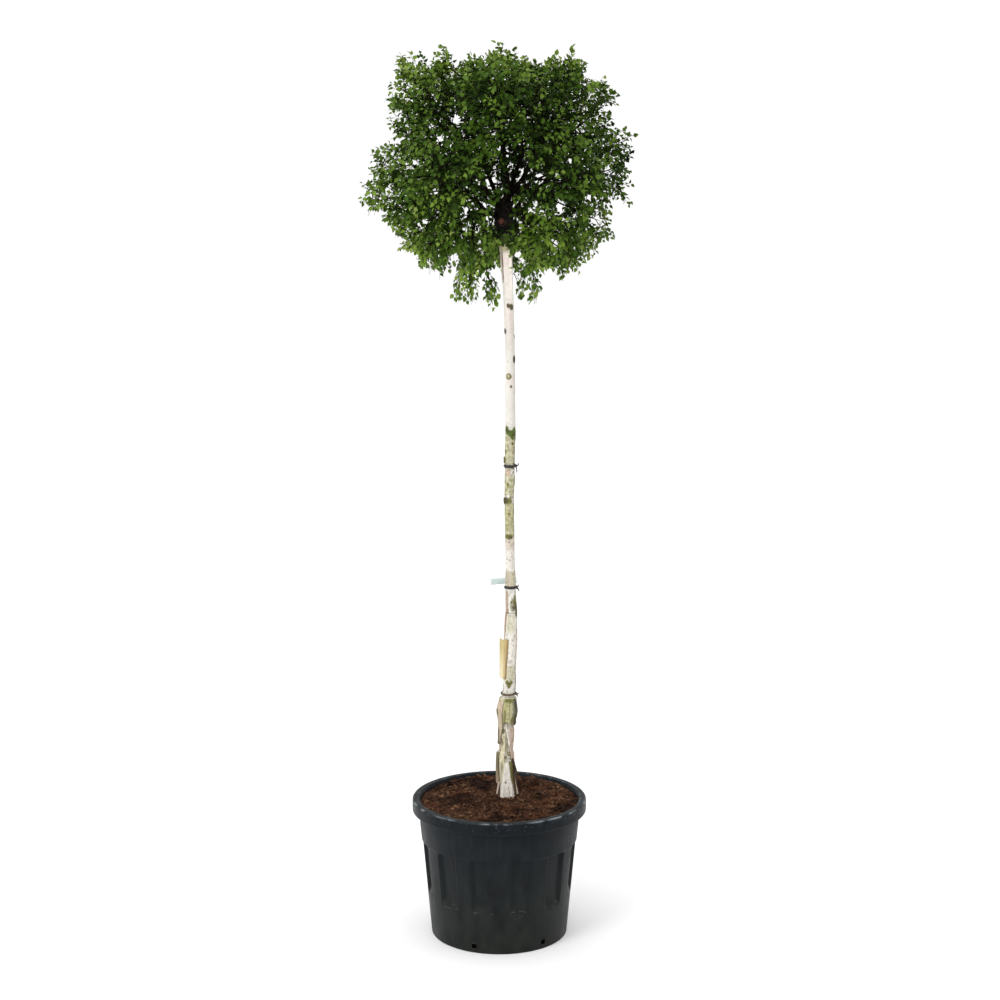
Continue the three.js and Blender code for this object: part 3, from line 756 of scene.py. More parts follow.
SPOTS = [
    ("rind", 0.70, 0.5, 1.968, 6, 0.008, 70), ("bark", 0.97, -0.7, 1.810, -2, 0.0068, 26),
    ("deep", 0.97, 0.6, 1.806, 34, 0.0090, 28), ("dark", 0.97, 0.9, 1.739, -66, 0.0088, 30),
    ("rust", 0.90, 1.0, 1.724, 82, 0.0045, 15), ("dark", 0.97, 0.6, 1.662, 58, 0.0120, 26),
    ("olive", 0.95, 0.6, 1.614, -20, 0.0088, 34), ("buff", 1.00, 0.0, 1.615, -22, 0.0046, 17),
    ("bark", 0.90, -0.6, 1.586, 9, 0.0042, 14), ("grey", 0.70, 0.2, 1.655, -28, 0.0040, 5),
    ("moss", 0.97, 0.9, 1.465, -42, 0.0120, 26), ("moss", 0.97, 0.9, 1.456, -2, 0.0100, 36),
    ("moss", 0.97, 0.9, 1.460, 46, 0.0135, 34), ("moss", 0.95, 0.8, 1.445, 30, 0.0085, 26),
    ("deep", 0.95, 0.8, 1.449, 84, 0.0160, 28), ("deep", 0.85, 0.6, 1.463, -28, 0.0050, 18),
    ("deep", 0.85, 0.6, 1.452, 34, 0.0060, 20), ("rust", 0.95, -0.5, 1.426, 30, 0.0046, 14),
    ("olive", 0.85, 0.5, 1.404, -62, 0.0075, 22), ("olive", 0.55, 0.3, 1.420, -30, 0.0050, 16),
    ("deep", 0.97, 3.6, 1.380, -80, 0.0100, 30), ("blush", 0.80, 0.0, 1.346, -22, 0.0115, 36),
    ("olive", 0.95, 1.0, 1.322, 84, 0.0175, 40), ("olive", 0.90, 0.0, 1.312, -18, 0.0050, 17),
    ("snow", 0.90, 0.5, 1.279, -16, 0.0045, 22), ("deep", 0.96, 2.8, 1.265, -56, 0.0100, 56),
    ("olive", 0.90, 1.2, 1.264, 2, 0.0075, 26), ("olive", 0.90, 0.0, 1.228, -5, 0.0045, 14),
    ("olive", 0.95, 0.9, 1.163, -18, 0.0080, 58), ("deep", 0.80, 0.6, 1.162, 6, 0.0045, 18),
    ("olive", 0.60, 0.7, 0.966, 16, 0.0190, 30), ("deep", 0.75, 0.5, 0.972, 34, 0.0060, 12),
    ("deep", 0.80, 0.5, 0.957, 30, 0.0070, 14), ("bark", 0.70, 0.2, 0.962, 12, 0.0035, 8),
    ("olive", 0.80, 0.3, 0.975, 6, 0.0040, 10), ("deep", 0.95, 0.9, 0.952, 64, 0.0260, 24),
    ("olive", 0.85, 0.4, 0.980, 48, 0.0160, 22), ("rust", 0.55, 0.0, 0.948, -34, 0.0090, 10),
    ("olive", 0.95, 0.6, 0.7395, -22, 0.0072, 17), ("olive", 0.95, 0.6, 0.7395, 13, 0.0072, 17),
    ("olive", 0.95, 0.6, 0.7310, -4, 0.0082, 16), ("deep", 0.70, 0.5, 0.738, -6, 0.0040, 10),
    ("bark", 0.90, -0.5, 1.058, 78, 0.0130, 16), ("deep", 0.90, 0.8, 0.735, 92, 0.0300, 24),
    ("bark", 0.95, 0.0, 0.564, -37, 0.0130, 6), ("deep", 0.85, 0.8, 0.596, -28, 0.0090, 14),
    ("bark", 0.90, 0.4, 0.530, 22, 0.0070, 13), ("rind", 0.90, 0.0, 0.5305, 22, 0.0034, 6),
    ("dark", 0.97, 1.6, 0.509, 50, 0.0068, 15), ("grey", 0.85, -0.6, 0.446, -4, 0.0036, 8),
    ("bark", 0.80, 0.2, 0.520, -4, 0.0045, 10), ("bark", 0.90, -0.6, 1.700, 150, 0.0070, 30),
    ("bark", 0.90, -0.6, 1.520, -150, 0.0080, 34), ("dark", 0.90, -0.6, 1.240, 140, 0.0060, 26),
    ("bark", 0.90, -0.6, 0.900, -160, 0.0070, 26), ("bark", 0.90, -0.6, 1.860, 120, 0.0060, 24),
    ("dark", 0.90, -0.6, 1.100, -125, 0.0060, 24), ("olive", 0.85, 0.8, 1.400, 175, 0.0400, 40),
    ("moss", 0.85, 0.8, 0.985, 160, 0.0400, 34), ("olive", 0.85, 0.8, 0.640, 165, 0.0500, 44),
]
SLEEVE_STRIPS = [
    ("buff", 0.85, 0.0, 0.55, 0.70, -125, -28, -125, -22),
    ("blush", 0.55, 0.0, 0.60, 0.68, -60, -30, -70, -34), ("rind", 0.80, 0.3, 0.60, 0.70, -28, 34, -24, 34),
    ("olive", 0.75, 0.4, 0.600, 0.700, -24, -10, -16, 0), ("olive", 0.55, 0.2, 0.640, 0.690, 8, 14, 12, 20),
    ("moss", 0.50, 0.2, 0.680, 0.700, -20, 34, -20, 34), ("deep", 0.70, 0.3, 0.58, 0.70, 26, 60, 32, 60),
    ("dark", 0.75, 0.4, 0.58, 0.690, 44, 128, 48, 122), ("deep", 0.60, 0.4, 0.58, 0.696, 40, 128, 44, 122),
    ("olive", 0.60, 0.2, 0.55, 0.70, 128, 232, 120, 225),
    ("bark", 0.90, -0.6, 0.54, 0.60, -110, -40, -100, -60),
    ("bark", 0.80, -0.8, 0.612, 0.690, -31, -26, -27, -23),
]
SLEEVE_SPOTS = [
    ("olive", 0.70, 0.6, 0.690, 22, 0.006, 26), ("rind", 0.80, 0.3, 0.672, -8, 0.012, 12),
    ("bark", 0.85, -0.6, 0.652, -70, 0.012, 10), ("blush", 0.70, 0.2, 0.676, -58, 0.014, 14),
    ("olive", 0.70, 0.6, 0.630, 34, 0.010, 14), ("deep", 0.80, 0.4, 0.620, -6, 0.006, 16),
]
print(len(STRIPS) + len(SLEEVE_STRIPS), "bark strips and", len(SPOTS) + len(SLEEVE_SPOTS), "bark spots")


# %% Coat of marks
TORN_EDGE = 0.12


def coat(heights, sides, ragged, strips, spots):
    """Colour, cover and lift in metres of the marks at each vertex, the later marks on top."""
    colour, cover, lift = np.zeros((len(heights), 3)), np.zeros(len(heights)), np.zeros(len(heights))

    def lay(tone, share, proud, reach):
        part = smoothstep(1 + TORN_EDGE, 1 - TORN_EDGE, reach + ragged)
        blend = np.where(cover > 0.02, part * share, 1.0) * (part > 0)
        colour[:] = colour + (np.array(TONES[tone]) - colour) * blend[:, None]
        cover[:] = np.maximum(cover * (1 - part * share), 0) + part * share
        lift[:] = lift * (1 - part) + part * proud * 0.001

    for tone, share, proud, low, high, left_low, right_low, left_high, right_high in strips:
        up = np.clip((heights - low) / (high - low), 0, 1)
        left, right = left_low + (left_high - left_low) * up, right_low + (right_high - right_low) * up
        off = (sides - (left + right) / 2 + 180) % 360 - 180
        tall = np.abs(heights - (low + high) / 2) / ((high - low) / 2)
        lay(tone, share, proud, np.maximum(tall, np.abs(off) / ((right - left) / 2)))
    for tone, share, proud, height, side, tall, wide in spots:
        off = (sides - side + 180) % 360 - 180
        lay(tone, share, proud, np.hypot((heights - height) / tall, off / wide))
    return colour, cover, lift


# %% Stem mesh
SEAM = 0.7060
UNDER_SLEEVE = (0.600, 0.708)
INNER_RADIUS = 0.0192
fine_levels = np.arange(SOIL_TOP - 0.03, stem_rows[-1][0] + 0.02, 0.0005)


def side_of(angle):
    """Degrees from the front, positive to the right, of an angle round the axis in radians."""
    return (np.degrees(angle) + 90 + 180) % 360 - 180


def softened(values, width):
    """The values with their corners rounded over so many neighbours."""
    kernel = np.hanning(width) / np.hanning(width).sum()
    return np.convolve(np.pad(values, width // 2, "edge"), kernel, "valid")


stem_x, stem_y = (softened(np.interp(fine_levels, stem_rows[:, 0], stem_rows[:, k]), 161) for k in (1, 2))
bare_girth = np.interp(fine_levels, stem_rows[:, 0], stem_rows[:, 3])
under_sleeve = (fine_levels > UNDER_SLEEVE[0]) & (fine_levels < UNDER_SLEEVE[1])
bare_girth = np.where(under_sleeve, INNER_RADIUS, bare_girth)
stem_girth = softened(bare_girth, 21)


def bark_noises(drum):
    """Wide, fine and long-grained noise on a drum of the stem's size, and the ragged edge."""
    wide, fine = soft_noise(drum * [1, 1, 0.5], 60), soft_noise(drum, 230, 7)
    return wide, fine, soft_noise(drum * [1, 1, 0.12], 220, 3), 0.13 * wide + 0.15 * fine


def make_stem(name, low, high, columns, step):
    """A length of stem. Its foot flares into five roots, and the graft at its head is knobbly."""
    levels = np.linspace(low, high, int((high - low) / step) + 1)
    x, y, radius = (np.interp(levels, fine_levels, track) for track in (stem_x, stem_y, stem_girth))
    turn = np.linspace(0, 2 * math.pi, columns, endpoint=False)
    height, angle = np.repeat(levels, columns), np.tile(turn, len(levels))
    around = np.stack([np.cos(angle), np.sin(angle)], 1)
    drum = np.column_stack([around * 0.017, height])
    wide_noise, fine_noise, long_noise, ragged = bark_noises(drum)
    colour, cover, lift = coat(height, side_of(angle), ragged, STRIPS, SPOTS)
    rough_foot = smoothstep(0.625, 0.55, height)
    head = smoothstep(1.975, 2.005, height + 0.012 * wide_noise)
    flare = np.exp(-(height - SOIL_TOP) / 0.030)
    girth = np.repeat(radius, columns) * (1 + 0.10 * np.cos(5 * (angle - math.radians(20))) * flare)
    girth += 0.00025 * fine_noise + 0.0004 * wide_noise + lift
    girth += rough_foot * (0.0012 * long_noise + 0.0005 * fine_noise)
    girth += cover * 0.0003 * (long_noise + fine_noise)
    girth += head * (0.0020 * wide_noise + 0.0010 * fine_noise)
    places = np.column_stack([
        np.repeat(x, columns) + around[:, 0] * girth, np.repeat(y, columns) + around[:, 1] * girth, height])
    faces = grid_faces(len(levels), columns)
    faces.append(tuple(reversed(range(columns))))
    faces.append(tuple(range(len(places) - columns, len(places))))
    made = mesh_object(name, places, faces)
    paint_attribute(made, "coat", colour, "FLOAT_VECTOR")
    paint_attribute(made, "coat_share", cover)
    paint_attribute(made, "head", head)
    return report(made)


stem_low = make_stem("stem_low", SOIL_TOP - 0.006, SEAM, 208, 0.00125)
stem_high = make_stem("stem_high", SEAM - 0.0005, stem_rows[-1][0], 96, 0.0025)

# %% [markdown]
# Just below the lowest tie a loose sleeve of bark stands round the stem, open at its top and torn
# at its foot. It is a shell of its own: each column is one closed outline, up the outside, over
# the rim and down the inside, so that the sheet has a real edge.

# %% Bark sleeve
# height, centre across and outer radius in metres
SLEEVE_ROWS = np.array([
    (0.545, 0.0190, 0.0228), (0.580, 0.0185, 0.0232), (0.605, 0.0205, 0.0245), (0.625, 0.0215, 0.0262),
    (0.640, 0.0220, 0.0290), (0.656, 0.0222, 0.0306), (0.672, 0.0232, 0.0282), (0.684, 0.0240, 0.0258),
    (0.6975, 0.0246, 0.0242),
])
# side, and the height of the torn foot there
SLEEVE_FOOT = np.array([(-180, 0.598), (-105, 0.560), (-60, 0.556), (-44, 0.566), (-26, 0.614), (0, 0.622),
                        (40, 0.613), (85, 0.618), (120, 0.604), (180, 0.598)])
SLEEVE_RIM = 0.6955
SHEET = 0.0021


def make_sleeve():
    columns, rows = 160, 64
    turn = np.linspace(0, 2 * math.pi, columns, endpoint=False)
    side = side_of(turn)

    def round_noise(pace, high):
        return np.array([
            turbulence.noise(Vector((math.cos(t) * pace, math.sin(t) * pace, high))) for t in turn])

    tear = round_noise(5, 3.7) + 0.5 * round_noise(14, 8.1)
    foot = np.interp(side, SLEEVE_FOOT[:, 0], SLEEVE_FOOT[:, 1]) + 0.0030 * tear
    rim = SLEEVE_RIM + 0.0016 * tear - 0.004 * smoothstep(40, 100, np.abs(side))
    share = np.concatenate([np.linspace(0, 1, rows), np.linspace(1, 0, rows)])
    inner = np.concatenate([np.zeros(rows), np.ones(rows)])
    height = (foot[None] + (rim - foot)[None] * share[:, None]).ravel()
    angle = np.tile(turn, 2 * rows)
    around = np.stack([np.cos(angle), np.sin(angle)], 1)
    wide_noise, fine_noise, long_noise, ragged = bark_noises(np.column_stack([around * 0.027, height]))
    colour, cover, lift = coat(height, np.tile(side, 2 * rows), ragged, SLEEVE_STRIPS, SLEEVE_SPOTS)
    girth = np.interp(height, SLEEVE_ROWS[:, 0], SLEEVE_ROWS[:, 2]) + 0.0011 * wide_noise + lift
    girth += 0.0007 * long_noise + 0.0004 * fine_noise
    girth -= SHEET * np.repeat(inner, columns) * (1 + 0.3 * wide_noise)
    lift_out = 0.0018 * smoothstep(0.012, 0.0, height - np.tile(foot, 2 * rows))
    girth += lift_out
    centre = np.interp(height, SLEEVE_ROWS[:, 0], SLEEVE_ROWS[:, 1])
    depth = np.interp(height, fine_levels, stem_y)
    places = np.column_stack([centre + around[:, 0] * girth, depth + around[:, 1] * girth, height])
    faces = grid_faces(2 * rows, columns)
    last = (2 * rows - 1) * columns
    faces += [(last + c, last + (c + 1) % columns, (c + 1) % columns, c) for c in range(columns)]
    made = mesh_object("bark_sleeve", places, faces)
    rim_light = smoothstep(0.0030, 0.0008, np.abs(height - np.tile(rim, 2 * rows)))
    pale = np.repeat(inner, columns) * 0.7 + rim_light * (1 - np.repeat(inner, columns))
    colour += (np.array(TONES["cream"]) - colour) * pale[:, None]
    paint_attribute(made, "coat", colour, "FLOAT_VECTOR")
    paint_attribute(made, "coat_share", np.maximum(cover, pale))
    paint_attribute(made, "head", np.zeros(len(places)))
    return report(made)


sleeve = make_sleeve()

# %% [markdown]
# White birch bark is papery: cream with soft pink and grey patches, fine level dashes where it
# breathes, and a duller skin with more specks towards the foot. The dashes are noise squeezed
# flat. Just under the graft, where the crown shades the stem, the skin is painted lighter and a
# little pinker as painted light. The marks come from the coat that the meshes carry, broken up
# by fine grain so that no mark is one flat colour. The graft at the top has dark rough bark.

# %% White bark finish
bark = Finish("white_bark", roughness=0.74, gloss=0.22)
clouds = bark.noise(14, 4, bark.stretched((1, 1, 0.5)))
warm = bark.noise(22, 4, bark.stretched((1, 1, 0.35), (3, 1, 7)))
dashes = bark.noise(75, 3, bark.stretched((1, 1, 6)))
specks = bark.noise(150, 3, bark.stretched((1, 1, 0.8)))
fissures = bark.noise(150, 4, bark.stretched((1, 1, 0.12)))
height_on_stem = bark.height()
older = bark.ramp(height_on_stem, 1.49, 1.43)
oldest = bark.ramp(height_on_stem, 0.72, 0.62)
skin = bark.mix(bark.ramp(clouds, 0.35, 0.65), tint(219, 217, 210), tint(203, 197, 190))
skin = bark.mix(bark.ramp(warm, 0.50, 0.72, 0, 0.55), skin, tint(212, 196, 188))
skin = bark.mix(bark.times(older, 0.35), skin, tint(204, 200, 188))
# Painted light: from 1.83 m up the skin is mixed towards a lighter, pinker white, to lift the shade that the
# crown casts there.
skin = bark.mix(bark.ramp(height_on_stem, 1.83, 1.91, 0, 0.85), skin, tint(243, 233, 224))
blotches = bark.times(bark.ramp(bark.noise(110, 5), 0.44, 0.60, 0, 0.85), older)
blotches = bark.times(blotches, bark.ramp(height_on_stem, 1.12, 1.17))
skin = bark.mix(blotches, skin, tint(108, 110, 54))
skin = bark.mix(bark.ramp(dashes, 0.60, 0.72, 0, 0.42), skin, tint(146, 136, 122))
cracked = bark.times(oldest, bark.ramp(fissures, 0.46, 0.62, 0.1, 0.8))
skin = bark.mix(cracked, skin, tint(140, 124, 100))
grain = bark.ramp(bark.noise(210, 4, bark.stretched((1, 1, 0.45))), 0.32, 0.68)
mark = bark.node("ShaderNodeAttribute", attribute_name="coat").outputs["Color"]
faded = bark.mix(0.34, mark, tint(150, 142, 84))
mark = bark.mix(bark.ramp(grain, 0.25, 0.9, 0, 0.8), mark, faded)
mark = bark.mix(bark.ramp(fissures, 0.54, 0.70, 0, 0.42), mark, tint(52, 44, 32))
mark_share = bark.ramp(bark.attribute("coat_share"), 0.0, 0.96)
mark_share = bark.times(mark_share, bark.ramp(clouds, 0.25, 0.7, 1.0, 0.97))
skin = bark.mix(mark_share, skin, mark)
speck_share = bark.times(bark.ramp(specks, 0.53, 0.67, 0, 0.58), bark.ramp(older, 0, 1, 0.14, 1))
speck_share = bark.times(speck_share, bark.ramp(height_on_stem, 0.43, 0.52, 0.35, 1))
skin = bark.mix(speck_share, skin, tint(104, 98, 70))
head_tone = bark.mix(bark.ramp(bark.noise(90, 4), 0.3, 0.7), tint(9, 7, 5), tint(30, 23, 18))
bark.colour(bark.mix(bark.attribute("head"), skin, head_tone))
bark.roughness(bark.ramp(clouds, 0.3, 0.7, 0.66, 0.84))
bark_relief = bark.maths("ADD", bark.times(dashes, 0.8), bark.times(fissures, 0.7))
bark.relief(bark.maths("ADD", bark_relief, bark.times(bark.noise(500, 3), 0.4)), 0.0012, 0.8)
for piece in (stem_low, stem_high, sleeve):
    piece.data.materials.append(bark.material)
    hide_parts("trunk")
    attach(piece, "root")
print("white bark finished")

# %% [markdown]
# ## Loose bark
# Birch bark lets go in sheets and splinters. Each flap is a thin grid that starts on the stem and
# stands further off towards its free edge, with torn ends. A Solidify modifier then gives the
# sheet its thickness, which is simpler than modelling two faces that must never cross.


# %% Flaps
def stem_at(height):
    """Centre across, centre back and radius of the stem at a height."""
    return [float(np.interp(height, fine_levels, track)) for track in (stem_x, stem_y, stem_girth)]


# name: lowest, highest, sides at the foot, sides at the head, stand-off in mm of the first and
# the last side at the foot and at the head, tear in mm, tone
FLAPS = {
    "peel_large": (0.750, 0.866, (-34, -112), (-26, -92), (0.5, 12.0), (0.6, 15.5), 1.6, "ochre"),
    "peel_strip": (0.862, 0.945, (-112, -84), (-74, -46), (4.5, 2.0), (0.8, 0.6), 1.5, "tan"),
    "slab_left": (0.440, 0.531, (-116, -52), (-112, -58), (4.4, 1.0), (3.8, 1.2), 2.0, "rind"),
    "splinter_left": (0.408, 0.447, (-80, -66), (-52, -40), (5.0, 4.4), (2.6, 2.0), 2.0, "pale"),
    "splinter_right": (0.408, 0.452, (62, 78), (54, 66), (2.6, 6.0), (1.2, 2.2), 3.0, "pale"),
    "strip_right": (0.468, 0.511, (66, 78), (44, 60), (8.6, 9.4), (2.0, 2.6), 1.0, "brown"),
    "sliver_middle": (0.396, 0.500, (52, 112), (50, 100), (3.5, 6.0), (0.6, 1.6), 2.5, "brown"),
    "edge_right": (0.560, 0.640, (66, 108), (70, 110), (0.8, 2.4), (0.8, 1.4), 2.0, "tan"),
    "peel_back": (0.820, 0.905, (120, 178), (126, 172), (0.4, 7.0), (0.4, 4.0), 2.5, "ochre"),
    "peel_high": (1.480, 1.535, (150, 200), (152, 196), (0.4, 4.5), (0.4, 2.0), 2.0, "tan"),
    "slab_back": (0.470, 0.585, (150, 215), (154, 210), (3.0, 1.0), (2.0, 0.6), 3.0, "rind"),
}


def make_flap(name, low, high, foot_sides, head_sides, foot_stand, head_stand, tear, seed):
    shake = np.random.default_rng(seed)
    across, along = 15, 36
    torn = [np.cumsum(shake.normal(0, 1, across)) for _ in range(2)]
    torn = [0.001 * tear * (t - t.mean()) / max(np.abs(t).max(), 1) for t in torn]
    places = []
    for k in range(along):
        v = k / (along - 1)
        for j in range(across):
            u = j / (across - 1)
            height = low + (high - low) * v + torn[0][j] * (1 - v) + torn[1][j] * v
            edge_wave = 0.05 * turbulence.noise(Vector((u * 3, v * 6, seed)))
            ends = [f + (h - f) * v for f, h in zip(foot_sides, head_sides)]
            side = math.radians(ends[0] + (ends[1] - ends[0]) * (u + edge_wave))
            stands = [f + (h - f) * v for f, h in zip(foot_stand, head_stand)]
            stand = stands[0] + (stands[1] - stands[0]) * u ** 1.4
            x, y, radius = stem_at(height)
            out = radius + 0.001 * (stand + 0.5 * turbulence.noise(Vector((u * 5, v * 9, seed + 4))))
            places.append((x + out * math.sin(side), y - out * math.cos(side), height))
    faces = [
        (k * across + j, k * across + j + 1, (k + 1) * across + j + 1, (k + 1) * across + j)
        for k in range(along - 1) for j in range(across - 1)]
    sheet = mesh_object(name + "_sheet", places, faces)
    paint_attribute(sheet, "across", np.tile(np.linspace(0, 1, across), along))
    thick = sheet.modifiers.new("thickness", "SOLIDIFY")
    thick.thickness, thick.offset = 0.0012, 0
    return report(settled(sheet, name))


def peel_finish(name, low, high, span, crease_shaded=False):
    mix = Finish(name, roughness=0.7, gloss=0.2)
    height = mix.height()
    grain = mix.noise(150, 4, mix.stretched((1, 1, 0.12)))
    body = mix.mix(mix.ramp(height, *span), low, high)
    if crease_shaded:
        # Painted shadow: the large peel darkens towards its attached edge, in the crease where it meets the
        # stem; its free edge is mixed a little darker too.
        across = mix.attribute("across")
        body = mix.mix(mix.ramp(across, 0.56, 0.30, 0, 0.6), body, tint(172, 148, 94))
        body = mix.mix(mix.ramp(across, 0.26, 0.10), body, tint(140, 118, 84))
        body = mix.mix(mix.ramp(across, 0.92, 1.0, 0, 0.7), body, tint(168, 146, 104))
    body = mix.mix(mix.ramp(grain, 0.45, 0.75, 0, 0.55), body, tint(132, 104, 72))
    mix.colour(body)
    mix.relief(grain, 0.0008, 0.7)
    return mix.material


PEELS = {
    "ochre": peel_finish("peel_ochre", tint(216, 206, 172), tint(186, 170, 122), (0.772, 0.842), True),
    "tan": peel_finish("peel_tan", tint(186, 164, 140), tint(158, 134, 112), (0.86, 0.94)),
    "rind": peel_finish("peel_rind", tint(160, 142, 122), tint(104, 100, 74), (0.446, 0.492)),
    "pale": peel_finish("peel_pale", tint(214, 200, 188), tint(196, 176, 158), (0.41, 0.45)),
    "brown": peel_finish("peel_brown", tint(72, 54, 38), tint(58, 46, 32), (0.41, 0.50)),
}
for i, (name, (*sizes, tone)) in enumerate(FLAPS.items()):
    flap = make_flap(name, *sizes, seed=60 + i)
    flap.data.materials.append(PEELS[tone])
    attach(flap, "root")

# %% [markdown]
# ## The pruned stub
# The graft's leader was cut back long ago, and the cut faces the front: a short stub with a bark
# edge and pale reddish wood. It is a turned shape along its own axis, and an attribute that runs
# from the pith to the edge draws the growth rings.

# %% Pruned stub
STUB_BEARING = math.radians(-100)


def make_stub():
    columns = 40
    profile = [(0.0135, 0.010), (0.0128, 0.022), (0.0118, 0.030), (0.0113, 0.036), (0.0108, 0.0385),
               (0.0100, 0.0392), (0.0088, 0.0386), (0.0065, 0.0382), (0.0040, 0.0384), (0.0015, 0.0386)]
    ahead = Vector((math.cos(STUB_BEARING), math.sin(STUB_BEARING), 0.06)).normalized()
    aside = ahead.cross(UP).normalized()
    above = aside.cross(ahead)
    places, cut = [], []
    for radius, reach in profile:
        for k in range(columns):
            turn = 2 * math.pi * k / columns
            way = aside * math.cos(turn) + above * math.sin(turn)
            rough = 1 + 0.08 * turbulence.noise(way * 2.2 + Vector((0, 0, reach * 90)))
            places.append(HEAD - UP * 0.014 + ahead * reach + way * radius * rough)
            cut.append(1 - radius / 0.010 if reach > 0.0381 and radius < 0.0095 else -1)
    faces = grid_faces(len(profile), columns)
    faces.append(tuple(range((len(profile) - 1) * columns, len(places))))
    faces.append(tuple(reversed(range(columns))))
    made = mesh_object("pruned_stub", places, faces)
    paint_attribute(made, "cut", cut)
    return report(made)


stub = make_stub()
cut_wood = Finish("cut_wood", roughness=0.85, gloss=0.2)
from_edge = cut_wood.attribute("cut")
waves = {"Scale": 9.0, "Distortion": 1.2, "Vector": from_edge}
rings = cut_wood.node("ShaderNodeTexWave", waves).outputs["Fac"]
wood = cut_wood.mix(cut_wood.ramp(from_edge, 0.05, 0.75), tint(84, 48, 38), tint(158, 108, 92))
wood = cut_wood.mix(cut_wood.ramp(rings, 0.3, 0.9, 0, 0.35), wood, tint(96, 62, 48))
rind = cut_wood.mix(cut_wood.ramp(cut_wood.noise(120, 4), 0.35, 0.65), tint(30, 24, 20), tint(66, 50, 40))
cut_wood.colour(cut_wood.mix(cut_wood.ramp(from_edge, -0.2, 0.02), rind, wood))
cut_wood.relief(cut_wood.maths("ADD", cut_wood.noise(300, 3), rings), 0.0008, 0.7)
stub.data.materials.append(cut_wood.material)
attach(stub, "root")

# %% [markdown]
# ## The crown's rooms
# The CAD model gives the crown as closed masses with clear spaces between them. Those masses are
# the rooms that the twigs may fill. For each room the script keeps its corners, its faces and a
# search tree that tells inside from outside.


# %% Rooms
def corners_of(name):
    """A CAD node's corners with doubles merged, and its faces."""
    mesh = frame["nodes"][name].data
    index, points, faces = {}, [], []
    for polygon in mesh.polygons:
        face = []
        for v in polygon.vertices:
            key = tuple(round(c, 5) for c in mesh.vertices[v].co)
            if key not in index:
                index[key] = len(points)
                points.append(key)
            face.append(index[key])
        faces.append(face)
    return np.array(points), faces


MASSES = sorted(n for n in frame["nodes"] if n.startswith("mass_"))
SOLID_MASSES = [name for name in MASSES if "trailing" not in name]
BOUGHS = sorted(n for n in frame["nodes"] if n.startswith("bough_"))
TRAILERS = sorted(n for n in frame["nodes"] if n.startswith("twig_"))
rooms = {}
for name in MASSES:
    points, faces = corners_of(name)
    rooms[name] = (points, faces, BVHTree.FromPolygons([Vector(p) for p in points], faces))


def depth_inside(place, names=None):
    """How deep a place lies in the rooms, in metres; below zero when it is outside them all."""
    best = -1.0
    for name in names or rooms:
        points, _, tree = rooms[name]
        if (place < room_low[name] - 0.06).any() or (place > room_high[name] + 0.06).any():
            continue
        near, normal, _, away = tree.find_nearest(Vector(place))
        best = max(best, -away if (Vector(place) - near).dot(normal) > 0 else away)
    return best


room_low = {name: points.min(0) for name, (points, _, _) in rooms.items()}
room_high = {name: points.max(0) for name, (points, _, _) in rooms.items()}
every_corner = np.concatenate([points for points, _, _ in rooms.values()])
CROWN_LOW, CROWN_HIGH = every_corner.min(0), every_corner.max(0)
CROWN_HEART = np.array([0.0, 0.0, 2.17])
corner_ways = every_corner - CROWN_HEART
corner_reach = np.linalg.norm(corner_ways, axis=1)
corner_ways /= corner_reach[:, None]


def outwardness(places):
    """0 at the crown's heart and about 1 at its outside, whatever way it lies."""
    ways = places - CROWN_HEART
    reach = np.linalg.norm(ways, axis=1)
    near = (ways / np.maximum(reach, 1e-6)[:, None]) @ corner_ways.T > math.cos(math.radians(13))
    edge = np.array([np.percentile(corner_reach[row], 88) if row.sum() > 3 else 0.30 for row in near])
    return reach / edge


print(len(rooms), "rooms, crown from", CROWN_LOW.round(3), "to", CROWN_HIGH.round(3))

# %% [markdown]
# ## Goals for the twigs
# Twigs grow towards light, so each room is filled with goals, which are the places where a leafy
# spray should end. They are dense near the crown's outside and rare near its heart, as on a real
# crown that shades itself. The crown isn't closed: lanes of sky run through it from front to
# back, and no goal or leaf may lie in one. A lane is a place across and up, and a radius. A front
# lane is open only in the crown's front half, so that the graft shows, and a thin lane only loses
# a share of its goals, its fourth number. Tufts stand up from the top: across, top, half-width
# and height. From every side the crown keeps within one round outline.

# %% Goals
dice = np.random.default_rng(2024)
GOALS_PER_CUBIC_METRE = 90000
GOAL_SPACING = 0.0228
TUFT_SPACING = 0.0135
STRAND_SPACING = 0.019
GOAL_DEPTH = 0.015
GAP_REACH = 0.050
SKY_LANES = [
    (-0.115, 2.310, 0.010), (-0.160, 2.262, 0.009), (-0.228, 2.200, 0.010), (0.013, 2.231, 0.010),
    (0.060, 2.162, 0.007), (0.106, 2.162, 0.009), (-0.092, 2.074, 0.009), (0.166, 2.084, 0.012),
    (0.246, 2.108, 0.007), (0.194, 2.205, 0.008), (-0.028, 2.150, 0.007), (0.100, 2.085, 0.008),
    (-0.300, 2.130, 0.008), (0.262, 2.045, 0.012), (-0.055, 1.985, 0.007), (-0.122, 1.945, 0.011),
    (0.152, 1.985, 0.010), (-0.205, 2.045, 0.008), (-0.275, 2.255, 0.007), (0.055, 1.955, 0.010),
    (0.300, 2.180, 0.007), (-0.175, 2.120, 0.007), (0.215, 2.300, 0.006), (0.060, 2.040, 0.007),
    (-0.275, 1.905, 0.058), (-0.205, 1.868, 0.048), (-0.345, 2.000, 0.040), (0.335, 1.955, 0.045),
    (-0.348, 2.045, 0.026), (-0.290, 1.985, 0.022), (0.205, 1.868, 0.034), (0.262, 2.446, 0.030),
    (0.262, 2.480, 0.030), (0.326, 2.425, 0.034), (-0.338, 2.315, 0.030), (0.176, 2.488, 0.010),
    (-0.107, 2.497, 0.018), (0.060, 2.500, 0.012),
]
FRONT_LANES = [
    (0.004, 2.040, 0.024), (0.018, 2.090, 0.022), (0.040, 2.150, 0.020), (0.055, 2.195, 0.018),
    (0.012, 1.962, 0.017), (0.013, 1.935, 0.019), (0.015, 1.905, 0.019), (0.017, 1.875, 0.019),
    (0.020, 1.845, 0.018),
]
